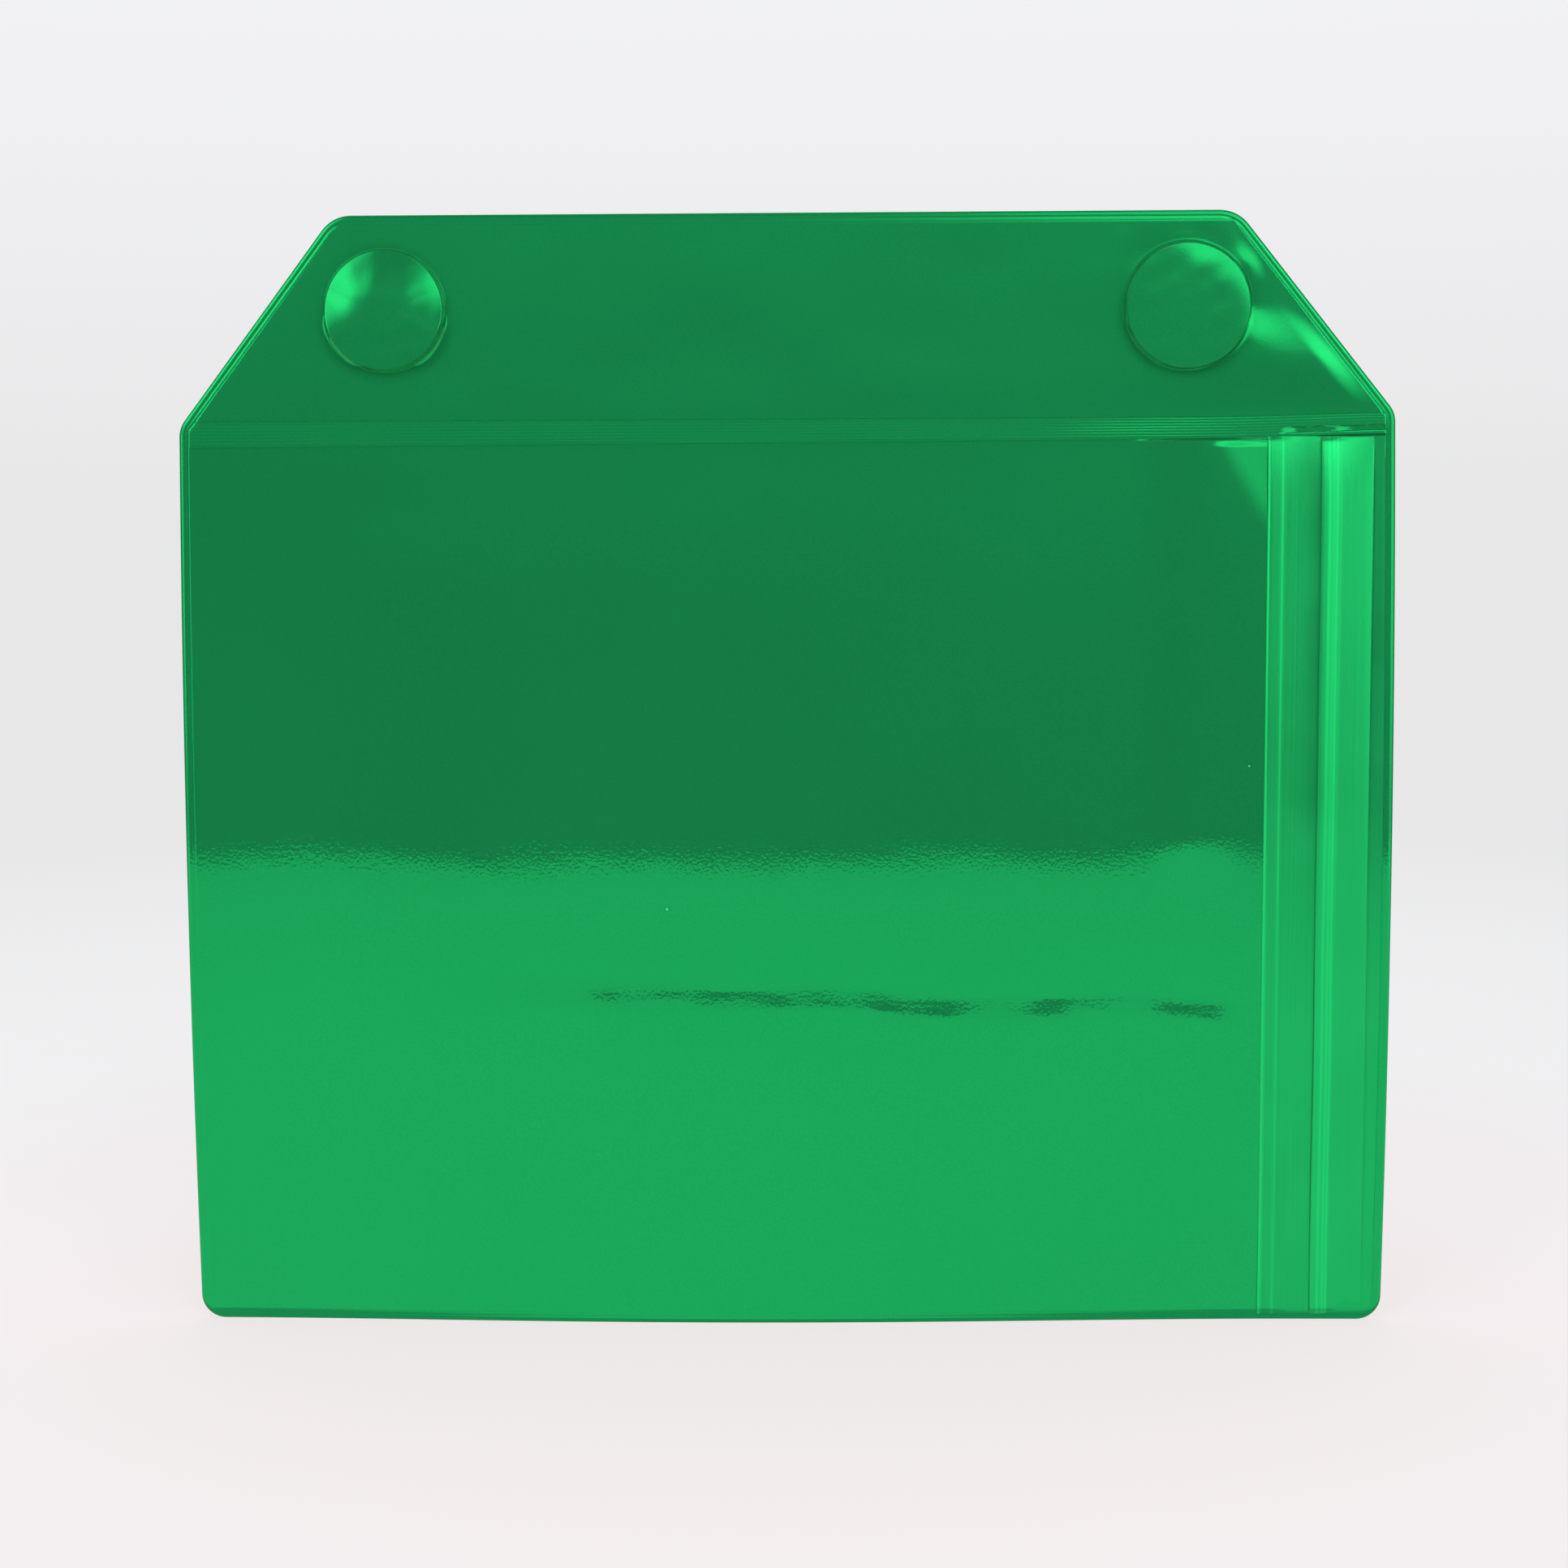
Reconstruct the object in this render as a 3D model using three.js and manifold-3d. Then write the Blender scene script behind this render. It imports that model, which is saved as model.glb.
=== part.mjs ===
// Magnetic document pocket for A5 sheets: a welded film pocket that hangs from a header with two sealed disc
// magnets and closes along its right-hand side with a press-to-close strip.
// Millimetres, +Z up. The front faces -Y, and a depth is measured forwards from the back face, so y = -depth.
// The origin lies on the back face, midway between the magnets.
import * as THREE from 'three';
import { mergeVertices } from 'three/addons/utils/BufferGeometryUtils.js';
import Module from 'manifold-3d';

const wasm = await Module();
wasm.setup();

// Sheet outline: straight sides and bottom, sloping shoulders, a shorter top edge
const SHEET_WIDTH = 230;
const SHEET_HEIGHT = 212;
const TOP_EDGE = 169.2;
const SHOULDER_DROP = 39.4;
const TOP_RADIUS = 7;
const SHOULDER_RADIUS = 5;
const BOTTOM_RADIUS = 4.6;
const CORNER_STEPS = 8;
const LEAST_RADIUS = 0.4;

// Film thicknesses and the room between the films
const BACK_FILM = 0.4;
const FRONT_FILM = 0.3;
const TAPE_FILM = 0.3;
const PLY_GAP = 0.05;
const POCKET_DEPTH = 1;

// Welded border: an outer bead, a pressed groove, an inner bead, then the film rises to the pocket's front
const WELD_WIDTH = 1.4;
const OUTER_BEAD = 0.28;
const GROOVE_FROM = 0.56;
const GROOVE_TO = 1.12;
const WELD_GROOVE = 0.15;
const WELD_BEAD = 0.4;
const WELD_LAND = 1.85;
const RISE_END = 5;
const CUT_GAP = 0.15;
const SPARE = 1;

// Ribbed weld band between the header and the pocket, with the fold line at its upper edge
const BAND_DROP = 38.4;
const BAND_HEIGHT = 4.6;
const RIB_COUNT = 7;
const RIB_HEIGHT = 0.28;
const RIB_FLANK = 0.35;
const FOLD_GAP = 0.3;

// Magnets and the blisters formed over them
const MAGNET_DIAMETER = 20;
const MAGNET_THICKNESS = 2;
const MAGNET_SPACING = 150;
const MAGNET_DROP = 17.7;
const MAGNET_CHAMFER = 0.3;
const MAGNET_CLEARANCE = 0.3;
const BLISTER_WALL = 0.6;
const BLISTER_ROUND = 0.9;
const BLISTER_FLARE = 0.8;
const BLISTER_CROWN = 0.5;
const ROUND_STEPS = 56;
const CURVE_STEPS = 6;

// Press-to-close strip on the right: distances from the sheet's right-hand edge
const TAPE_LEFT = 24.3;
const TAPE_CREASE = 21.3;
const ZIP_LEFT = 14.1;
const ZIP_WIDTH = 4.1;
const LIP_EDGE = 4.35;
const RIB_TAPE_LEFT = 17.6;
const CREASE_GAP = 0.3;
const MOUTH_WELD = 1.7;
const MARGIN_LIFT = 0.15;

// Closing profile: two jaws on the front tape take the headed rib of the back tape
const JAW_SPACING = 2.3;
const JAW_THICKNESS = 0.5;
const JAW_HEIGHT = 0.82;
const JAW_HOOK = 0.15;
const RIB_STEM = 0.45;
const RIB_HEAD = 1;
const RIB_TALL = 0.8;
const RIB_HEAD_TALL = 0.36;
const ZIP_RAISE = 0.25;
const ZIP_SLOPE = 0.1;
const RIDGE_HEIGHT = 0.15;
const RIDGE_COUNT = 3;
const RIDGE_PITCH = 1;
const RIDGE_START = 1.65;
const LIP_BEAD = 1.3;
const LIP_DROP = 0.3;

// Finishes
const FILM_GREEN = 0x15864a;
const TAPE_GREEN = 0x1a9a54;
const NICKEL = 0xb9bbbd;

// Places that follow from the dimensions above
const LEFT = -SHEET_WIDTH / 2;
const RIGHT = SHEET_WIDTH / 2;
const TOP = MAGNET_DROP;
const BOTTOM = TOP - SHEET_HEIGHT;
const SHOULDER = TOP - SHOULDER_DROP;
const FOLD = TOP - BAND_DROP;
const BAND_BOTTOM = FOLD - BAND_HEIGHT;
const CHAMBER_TOP = BAND_BOTTOM + WELD_LAND;
const PANEL_EDGE = RIGHT - TAPE_CREASE - CREASE_GAP;
const ZIP_CENTRE = RIGHT - ZIP_LEFT + ZIP_WIDTH / 2;

// Depths of the layers
const COVER_BACK = BACK_FILM + PLY_GAP;
const COVER_FRONT = COVER_BACK + FRONT_FILM;
const PANEL_BACK = COVER_BACK + POCKET_DEPTH;
const PANEL_FRONT = PANEL_BACK + FRONT_FILM;
const TAPE_BACK = PANEL_FRONT + PLY_GAP;
const TAPE_FRONT = TAPE_BACK + TAPE_FILM;
const RIB_TAPE_FRONT = COVER_BACK + TAPE_FILM;
const MAGNET_FRONT = COVER_BACK + MAGNET_THICKNESS;
const BLISTER_FRONT = MAGNET_FRONT + MAGNET_CLEARANCE + FRONT_FILM;
const BLISTER_CREST = BLISTER_FRONT + BLISTER_CROWN;

// Corners run anticlockwise as seen from the front, in (x, z)
const corner = (x, z, radius) => ({ point: new THREE.Vector2(x, z), radius });
const SHEET_CORNERS = [
  corner(LEFT, BOTTOM, BOTTOM_RADIUS),
  corner(RIGHT, BOTTOM, BOTTOM_RADIUS),
  corner(RIGHT, SHOULDER, SHOULDER_RADIUS),
  corner(TOP_EDGE / 2, TOP, TOP_RADIUS),
  corner(-TOP_EDGE / 2, TOP, TOP_RADIUS),
  corner(LEFT, SHOULDER, SHOULDER_RADIUS),
];
const CHAMBER_CORNERS = [
  corner(LEFT, BOTTOM, BOTTOM_RADIUS),
  corner(RIGHT, BOTTOM, BOTTOM_RADIUS),
  corner(RIGHT, CHAMBER_TOP, LEAST_RADIUS),
  corner(LEFT, CHAMBER_TOP, LEAST_RADIUS),
];

function leftOf(direction) {
  return new THREE.Vector2(-direction.y, direction.x);
}

// A convex outline moved inwards by an inset, with its corners rounded to match
function roundedOutline(corners, inset) {
  return corners.flatMap(({ point, radius }, i) => {
    const before = corners.at(i - 1).point;
    const after = corners[(i + 1) % corners.length].point;
    const arriving = leftOf(point.clone().sub(before).normalize());
    const leaving = leftOf(after.clone().sub(point).normalize());
    const arc = Math.max(radius - inset, LEAST_RADIUS);
    const reach = (inset + arc) / (1 + arriving.dot(leaving));
    const centre = arriving.clone().add(leaving).multiplyScalar(reach).add(point);
    const turn = Math.acos(arriving.dot(leaving));
    return Array.from({ length: CORNER_STEPS + 1 }, (_, step) => {
      const spoke = arriving.clone().rotateAround(new THREE.Vector2(), (turn * step) / CORNER_STEPS);
      return centre.clone().addScaledVector(spoke, -arc);
    });
  });
}

// A closed section of [inset, depth] points carried round an outline
function sweepRound(corners, section) {
  const rings = section.map(([inset, depth]) =>
    roundedOutline(corners, inset).map((p) => new THREE.Vector3(p.x, -depth, p.y)),
  );
  const size = rings[0].length;
  const index = [];
  for (let i = 0; i < rings.length; i += 1) {
    const here = i * size;
    const next = ((i + 1) % rings.length) * size;
    for (let j = 0; j < size; j += 1) {
      const k = (j + 1) % size;
      index.push(here + j, here + k, next + k);
      index.push(here + j, next + k, next + j);
    }
  }
  const geometry = new THREE.BufferGeometry().setFromPoints(rings.flat());
  geometry.setIndex(index);
  return geometry;
}

// A flat plate with an outline in (x, z), from one depth to another
function plate(outline, back, front) {
  const geometry = new THREE.ExtrudeGeometry(new THREE.Shape(outline), {
    depth: front - back,
    bevelEnabled: false,
  });
  geometry.translate(0, 0, back);
  geometry.rotateX(Math.PI / 2);
  return geometry;
}

// A section in (x, depth) run up the object from one height to another
function runUp(section, low, high) {
  const outline = section.map(([x, depth]) => new THREE.Vector2(x, -depth));
  const geometry = new THREE.ExtrudeGeometry(new THREE.Shape(outline), {
    depth: high - low,
    bevelEnabled: false,
  });
  geometry.translate(0, 0, low);
  return geometry;
}

// A section in (depth, z) run across the object from one side to the other
function runAcross(section, left, right) {
  const outline = section.map(([depth, z]) => new THREE.Vector2(-depth, z));
  const geometry = new THREE.ExtrudeGeometry(new THREE.Shape(outline), {
    depth: right - left,
    bevelEnabled: false,
  });
  const toSide = new THREE.Matrix4().makeBasis(
    new THREE.Vector3(0, 1, 0),
    new THREE.Vector3(0, 0, 1),
    new THREE.Vector3(1, 0, 0),
  );
  geometry.translate(0, 0, left);
  geometry.applyMatrix4(toSide);
  return geometry;
}

// A round piece turned about a line square to the sheet, from a profile of (radius, depth) points
function turned(profile, x) {
  const geometry = new THREE.LatheGeometry(profile, ROUND_STEPS);
  geometry.rotateX(Math.PI);
  geometry.translate(x, 0, 0);
  return geometry;
}

// A block between two corners in (x, z), deep enough to trim any of the layers
function trimBlock(left, right, low, high) {
  const reach = 2 * BLISTER_FRONT;
  const geometry = new THREE.BoxGeometry(right - left, 2 * reach, high - low);
  geometry.translate((left + right) / 2, 0, (low + high) / 2);
  return solid(geometry);
}

// Joining and cutting
const MERGE_WITHIN = 1e-5;

function solid(geometry) {
  const bare = geometry.clone();
  bare.deleteAttribute('normal');
  bare.deleteAttribute('uv');
  const merged = mergeVertices(bare, MERGE_WITHIN);
  return new wasm.Manifold(
    new wasm.Mesh({
      numProp: 3,
      vertProperties: new Float32Array(merged.attributes.position.array),
      triVerts: new Uint32Array(merged.index.array),
    }),
  );
}

function surface(body) {
  const { vertProperties, triVerts } = body.getMesh();
  const geometry = new THREE.BufferGeometry();
  geometry.setAttribute('position', new THREE.BufferAttribute(vertProperties, 3));
  geometry.setIndex(new THREE.BufferAttribute(triVerts, 1));
  geometry.computeVertexNormals();
  return geometry;
}

const ABOVE_FOLD = trimBlock(LEFT - SPARE, RIGHT + SPARE, FOLD + FOLD_GAP / 2, TOP + SPARE);
const BELOW_FOLD = trimBlock(LEFT - SPARE, RIGHT + SPARE, BOTTOM - SPARE, FOLD - FOLD_GAP / 2);

// The back sheet is one film that folds at the weld band, so it is two leaves
function backLeaf(half) {
  return surface(solid(plate(roundedOutline(SHEET_CORNERS, 0), 0, BACK_FILM)).intersect(half));
}

// The fused edge that runs right round the sheet
function weldRim() {
  const groove = COVER_BACK + WELD_GROOVE;
  const bead = COVER_BACK + WELD_BEAD;
  return solid(
    sweepRound(SHEET_CORNERS, [
      [0, groove],
      [OUTER_BEAD, bead],
      [GROOVE_FROM, groove],
      [GROOVE_TO, groove],
      [WELD_WIDTH, bead],
      [WELD_LAND, COVER_FRONT],
      [WELD_LAND, COVER_BACK],
      [0, COVER_BACK],
    ]),
  );
}

// The film between the fused edge and the pocket's raised front
function chamberRise() {
  return solid(
    sweepRound(CHAMBER_CORNERS, [
      [WELD_WIDTH, COVER_FRONT],
      [WELD_LAND, COVER_FRONT],
      [RISE_END, PANEL_FRONT],
      [RISE_END, PANEL_BACK],
      [WELD_LAND, COVER_BACK],
      [WELD_WIDTH, COVER_BACK],
    ]),
  );
}

// The welded border of the pocket, open where the mouth lets papers in
function pocketBorder() {
  const mouth = trimBlock(PANEL_EDGE, RIGHT - MOUTH_WELD, BOTTOM + MOUTH_WELD, BAND_BOTTOM);
  const aboveChamber = trimBlock(LEFT - SPARE, RIGHT + SPARE, BAND_BOTTOM, TOP);
  return weldRim().intersect(BELOW_FOLD).add(chamberRise().subtract(aboveChamber)).subtract(mouth);
}

// The ribs pressed into the weld band
function ribbedBand() {
  const top = FOLD - FOLD_GAP / 2;
  const pitch = (top - BAND_BOTTOM) / RIB_COUNT;
  const valley = COVER_BACK + WELD_GROOVE;
  const section = [[COVER_BACK, BAND_BOTTOM], [COVER_BACK, top]];
  for (let rib = 0; rib < RIB_COUNT; rib += 1) {
    const start = top - rib * pitch;
    section.push([valley, start], [valley + RIB_HEIGHT, start - RIB_FLANK * pitch]);
    section.push([valley + RIB_HEIGHT, start - (1 - RIB_FLANK) * pitch]);
  }
  section.push([valley, BAND_BOTTOM]);
  return solid(runAcross(section, LEFT + WELD_WIDTH, RIGHT - WELD_WIDTH));
}

const BORDER = pocketBorder();
const RISE_TOP = CHAMBER_TOP - RISE_END;
const RISE_BOTTOM = BOTTOM + RISE_END;

function headerWeld() {
  const strip = trimBlock(LEFT - SPARE, RIGHT + SPARE, RISE_TOP, FOLD);
  return surface(BORDER.intersect(strip).add(ribbedBand()));
}

function bottomWeld() {
  const strip = trimBlock(LEFT - SPARE, RIGHT + SPARE, BOTTOM - SPARE, RISE_BOTTOM);
  return surface(BORDER.intersect(strip));
}

function sideWeld(left, right) {
  return surface(BORDER.intersect(trimBlock(left, right, RISE_BOTTOM + CUT_GAP, RISE_TOP - CUT_GAP)));
}

// The flat front of the pocket, from the left-hand rise to the edge that carries the front tape
function frontFilm() {
  const left = LEFT + RISE_END + CUT_GAP;
  const low = RISE_BOTTOM + CUT_GAP;
  const high = RISE_TOP - CUT_GAP;
  const outline = [
    new THREE.Vector2(left, low),
    new THREE.Vector2(PANEL_EDGE, low),
    new THREE.Vector2(PANEL_EDGE, high),
    new THREE.Vector2(left, high),
  ];
  return plate(outline, PANEL_BACK, PANEL_FRONT);
}

// The formed skin of one blister, solid, before the magnet's room is taken out
function blister(x) {
  const plateau = MAGNET_DIAMETER / 2 + MAGNET_CLEARANCE + BLISTER_WALL;
  const profile = new THREE.Path();
  profile.moveTo(0, COVER_BACK);
  profile.lineTo(plateau + BLISTER_FLARE, COVER_BACK);
  profile.lineTo(plateau + BLISTER_FLARE, COVER_FRONT);
  profile.quadraticCurveTo(plateau, COVER_FRONT, plateau, COVER_FRONT + BLISTER_FLARE);
  profile.lineTo(plateau, BLISTER_FRONT - BLISTER_ROUND);
  profile.quadraticCurveTo(plateau, BLISTER_FRONT, plateau - BLISTER_ROUND, BLISTER_FRONT);
  profile.quadraticCurveTo(plateau / 2, BLISTER_CREST, 0, BLISTER_CREST);
  return solid(turned(profile.getPoints(CURVE_STEPS), x));
}

function magnetRoom(x) {
  const radius = MAGNET_DIAMETER / 2 + MAGNET_CLEARANCE;
  const profile = new THREE.Path();
  profile.moveTo(0, 0);
  profile.lineTo(radius, 0);
  profile.lineTo(radius, BLISTER_FRONT - FRONT_FILM);
  profile.quadraticCurveTo(radius / 2, BLISTER_CREST - FRONT_FILM, 0, BLISTER_CREST - FRONT_FILM);
  return solid(turned(profile.getPoints(CURVE_STEPS), x));
}

// The cover film of the header, formed over both magnets
function headerCover() {
  let cover = solid(plate(roundedOutline(SHEET_CORNERS, WELD_WIDTH), COVER_BACK, COVER_FRONT));
  cover = cover.add(weldRim()).intersect(ABOVE_FOLD);
  for (const side of [-1, 1]) {
    const x = (side * MAGNET_SPACING) / 2;
    cover = cover.add(blister(x)).subtract(magnetRoom(x));
  }
  return surface(cover);
}

function magnet(side) {
  const radius = MAGNET_DIAMETER / 2;
  const profile = [
    new THREE.Vector2(0, COVER_BACK),
    new THREE.Vector2(radius - MAGNET_CHAMFER, COVER_BACK),
    new THREE.Vector2(radius, COVER_BACK + MAGNET_CHAMFER),
    new THREE.Vector2(radius, MAGNET_FRONT - MAGNET_CHAMFER),
    new THREE.Vector2(radius - MAGNET_CHAMFER, MAGNET_FRONT),
    new THREE.Vector2(0, MAGNET_FRONT),
  ];
  return turned(profile, (side * MAGNET_SPACING) / 2);
}

// The welded margin of the front tape, which dips with the front film at both ends
function tapeMargin() {
  const ends = [
    [BOTTOM, 1],
    [CHAMBER_TOP, -1],
  ];
  const low = COVER_FRONT + MARGIN_LIFT;
  const under = ends.flatMap(([z, up]) => [[low, z + up * WELD_LAND], [TAPE_BACK, z + up * RISE_END]]);
  const over = under.map(([depth, z]) => [depth + TAPE_FILM, z]);
  const section = [under[0], under[1], under[3], under[2], over[2], over[3], over[1], over[0]];
  return runAcross(section, RIGHT - TAPE_LEFT, PANEL_EDGE);
}

// The free flap of the front tape: web, raised strip with grip ridges, two hooked jaws behind it, and the lip
function grooveTape() {
  const zipLeft = RIGHT - ZIP_LEFT;
  const zipRight = zipLeft + ZIP_WIDTH;
  const lip = RIGHT - LIP_EDGE;
  const raised = TAPE_FRONT + ZIP_RAISE;
  const jawTip = TAPE_BACK - JAW_HEIGHT;
  const section = [[RIGHT - TAPE_CREASE, TAPE_BACK], [RIGHT - TAPE_CREASE, TAPE_FRONT]];
  section.push([zipLeft, TAPE_FRONT], [zipLeft + ZIP_RAISE, raised]);
  for (let ridge = 0; ridge < RIDGE_COUNT; ridge += 1) {
    const x = zipLeft + RIDGE_START + ridge * RIDGE_PITCH;
    section.push([x - RIDGE_HEIGHT, raised], [x, raised + RIDGE_HEIGHT], [x + RIDGE_HEIGHT, raised]);
  }
  section.push([zipRight - ZIP_SLOPE, raised], [zipRight, TAPE_FRONT]);
  section.push([lip - LIP_BEAD, TAPE_FRONT - LIP_DROP], [lip - LIP_BEAD / 2, TAPE_FRONT - LIP_DROP + RIDGE_HEIGHT]);
  section.push([lip, TAPE_FRONT - LIP_DROP], [lip, TAPE_BACK - LIP_DROP]);
  for (const side of [1, -1]) {
    const outer = ZIP_CENTRE + (side * (JAW_SPACING + JAW_THICKNESS)) / 2;
    const inner = ZIP_CENTRE + (side * (JAW_SPACING - JAW_THICKNESS)) / 2;
    const hooked = inner - side * JAW_HOOK;
    const jaw = [[outer, TAPE_BACK], [outer, jawTip], [inner, jawTip], [hooked, jawTip + JAW_HOOK]];
    jaw.push([inner, jawTip + 2 * JAW_HOOK], [inner, TAPE_BACK]);
    section.push(...(side > 0 ? jaw : jaw.reverse()));
  }
  return runUp(section, BOTTOM + MOUTH_WELD + CREASE_GAP, BAND_BOTTOM - CREASE_GAP);
}

// The back tape: a flat base on the back sheet with the headed rib that the jaws close over
function ribTape() {
  const left = RIGHT - RIB_TAPE_LEFT;
  const right = RIGHT - WELD_LAND;
  const crest = RIB_TAPE_FRONT + RIB_TALL;
  const neck = crest - RIB_HEAD_TALL;
  const section = [
    [left, COVER_BACK],
    [right, COVER_BACK],
    [right, RIB_TAPE_FRONT],
    [ZIP_CENTRE + RIB_STEM / 2, RIB_TAPE_FRONT],
    [ZIP_CENTRE + RIB_STEM / 2, neck],
    [ZIP_CENTRE + RIB_HEAD / 2, neck],
    [ZIP_CENTRE + RIB_STEM / 2, crest],
    [ZIP_CENTRE - RIB_STEM / 2, crest],
    [ZIP_CENTRE - RIB_HEAD / 2, neck],
    [ZIP_CENTRE - RIB_STEM / 2, neck],
    [ZIP_CENTRE - RIB_STEM / 2, RIB_TAPE_FRONT],
    [left, RIB_TAPE_FRONT],
  ];
  return runUp(section, BOTTOM + MOUTH_WELD + CREASE_GAP, BAND_BOTTOM - CREASE_GAP);
}

// The assembly
const glossyFilm = (color) => new THREE.MeshStandardMaterial({ color, roughness: 0.18, metalness: 0 });
const plating = () => new THREE.MeshStandardMaterial({ color: NICKEL, roughness: 0.22, metalness: 1 });

function piece(name, geometry, material) {
  const mesh = new THREE.Mesh(geometry, material);
  mesh.name = name;
  return mesh;
}

const header = new THREE.Group();
header.add(piece('header_back', backLeaf(ABOVE_FOLD), glossyFilm(FILM_GREEN)));
header.add(piece('header_cover', headerCover(), glossyFilm(FILM_GREEN)));
header.add(piece('magnet_left', magnet(-1), plating()));
header.add(piece('magnet_right', magnet(1), plating()));

const pocket = new THREE.Group();
pocket.add(piece('pocket_back', backLeaf(BELOW_FOLD), glossyFilm(FILM_GREEN)));
pocket.add(piece('front_film', frontFilm(), glossyFilm(FILM_GREEN)));
pocket.add(piece('header_weld', headerWeld(), glossyFilm(FILM_GREEN)));
pocket.add(piece('bottom_weld', bottomWeld(), glossyFilm(FILM_GREEN)));
pocket.add(piece('side_weld', sideWeld(LEFT - SPARE, 0), glossyFilm(FILM_GREEN)));
pocket.add(piece('mouth_weld', sideWeld(PANEL_EDGE, RIGHT + SPARE), glossyFilm(FILM_GREEN)));
pocket.add(piece('zip_rib_tape', ribTape(), glossyFilm(TAPE_GREEN)));
pocket.add(piece('zip_tape_margin', tapeMargin(), glossyFilm(TAPE_GREEN)));

const mouth = new THREE.Group();
mouth.add(piece('zip_groove_tape', grooveTape(), glossyFilm(TAPE_GREEN)));

const documentPocket = new THREE.Group();
documentPocket.add(header, pocket, mouth);

export default documentPocket;
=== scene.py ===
"""Looks of a magnetic document pocket: welded films, two sealed magnets and a press-to-close strip.

Sizes in the classes are millimetres in the shared frame: X to the right, Y towards the board, Z up.
A depth is measured forwards from the back face, so that y = -depth. A Span says where a smooth rise
starts and where it is complete.
"""
import logging
import math
from dataclasses import dataclass
from enum import Enum

import bpy
import numpy as np
from mathutils import Matrix, Vector


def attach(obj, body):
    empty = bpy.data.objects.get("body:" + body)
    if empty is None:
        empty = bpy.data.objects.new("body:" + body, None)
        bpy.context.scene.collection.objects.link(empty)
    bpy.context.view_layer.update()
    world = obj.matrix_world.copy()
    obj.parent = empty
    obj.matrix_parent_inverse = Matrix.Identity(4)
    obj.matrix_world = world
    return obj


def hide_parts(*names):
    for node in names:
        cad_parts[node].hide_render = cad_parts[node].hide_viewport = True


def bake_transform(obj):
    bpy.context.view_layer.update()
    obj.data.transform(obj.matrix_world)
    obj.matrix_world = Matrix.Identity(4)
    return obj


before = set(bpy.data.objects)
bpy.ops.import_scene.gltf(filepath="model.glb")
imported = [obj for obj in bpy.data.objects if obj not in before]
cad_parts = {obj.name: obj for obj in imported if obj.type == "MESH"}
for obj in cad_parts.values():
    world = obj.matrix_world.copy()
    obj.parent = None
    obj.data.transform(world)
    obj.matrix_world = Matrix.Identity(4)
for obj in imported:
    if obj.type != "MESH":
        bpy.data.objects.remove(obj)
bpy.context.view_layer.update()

log = logging.getLogger("document_pocket")

MM = 0.001
PHOTO_SIDE = 1932
SHARP_ANGLE = math.radians(38)
# Mesh layer with the shares of the tape's painted highlights.
PAINTED_HIGHLIGHT_LAYER = "pale"
WAVE_COUNT = 7
WAVE_SPREAD = (0.7, 1.4)

Colour = tuple[float, float, float, float]
Faces = list[tuple[int, ...]]
Pair = tuple[float, float]
Place = tuple[float, float, float]
Profile = tuple[Pair, ...]
Span = tuple[float, float]
Waves = tuple[tuple[float, float, int], ...]


class Body(Enum):
    """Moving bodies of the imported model."""

    HEADER = "header"
    POCKET = "pocket"
    MOUTH = "mouth"


class Slot(Enum):
    """Material slots of the record, handed to new pieces, which do not use them."""

    FILM = "film"
    TAPE = "tape"


def linear(hex_colour: str) -> Colour:
    """Turns an sRGB hex colour into linear light.

    Args:
        hex_colour: Colour such as "#1a9a54".

    Returns:
        Linear red, green and blue with an alpha of 1.
    """
    channels = [int(hex_colour[i:i + 2], 16) / 255 for i in (1, 3, 5)]
    red, green, blue = (c / 12.92 if c <= 0.04045 else ((c + 0.055) / 1.055) ** 2.4 for c in channels)
    return red, green, blue, 1.0


def per_metre(size: float) -> float:
    """Gives the texture scale at which one repeat is the given number of millimetres."""
    return 1.0 / (size * MM)


def ease(value: np.ndarray | float, start: float, end: float) -> np.ndarray:
    """Rises smoothly from 0 at start to 1 at end.

    Args:
        value: Where to read the curve.
        start: Value that gives 0.
        end: Value that gives 1.

    Returns:
        The eased share at each value.
    """
    t = np.clip((np.asarray(value, float) - start) / (end - start), 0.0, 1.0)
    return t * t * (3.0 - 2.0 * t)


def bell(distance: np.ndarray, reach: float) -> np.ndarray:
    """Gives a hump of height 1 that has mostly faded at the given reach."""
    return np.exp(-((distance / reach) ** 2))


def settle(share: np.ndarray, soft: float = 0.2) -> np.ndarray:
    """Follows the share from 0 up to 1 - soft, then levels off smoothly at 1."""
    t = np.clip(share, 0.0, 1.0 + soft)
    return np.where(t < 1.0 - soft, t, t - (t - 1.0 + soft) ** 2 / (4.0 * soft))


def ripples(x: np.ndarray, z: np.ndarray, waves: Waves) -> np.ndarray:
    """Gives irregular waves like those of a film that lies almost flat.

    Args:
        x: Places across the film.
        z: Places up the film.
        waves: Usual height, length and seed of each set of waves.

    Returns:
        The height at each place.
    """
    total = np.zeros(np.shape(x))
    for height, length, seed in waves:
        random = np.random.default_rng(seed)
        for _ in range(WAVE_COUNT):
            heading, phase = random.uniform(0.0, 2.0 * math.pi, 2)
            turns = 2.0 * math.pi / length * random.uniform(*WAVE_SPREAD)
            along = x * math.cos(heading) + z * math.sin(heading)
            total = total + height / math.sqrt(WAVE_COUNT) * np.sin(turns * along + phase)
    return total


def stops(*zones: tuple[float, float, float]) -> np.ndarray:
    """Lines up grid places in zones of their own spacing.

    Args:
        zones: Start, end and spacing of each zone, one after another.

    Returns:
        All places in order, each once.
    """
    runs = [np.linspace(a, b, max(2, round(abs(b - a) / step) + 1)) for a, b, step in zones]
    return np.concatenate([runs[0]] + [run[1:] for run in runs[1:]])


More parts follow.
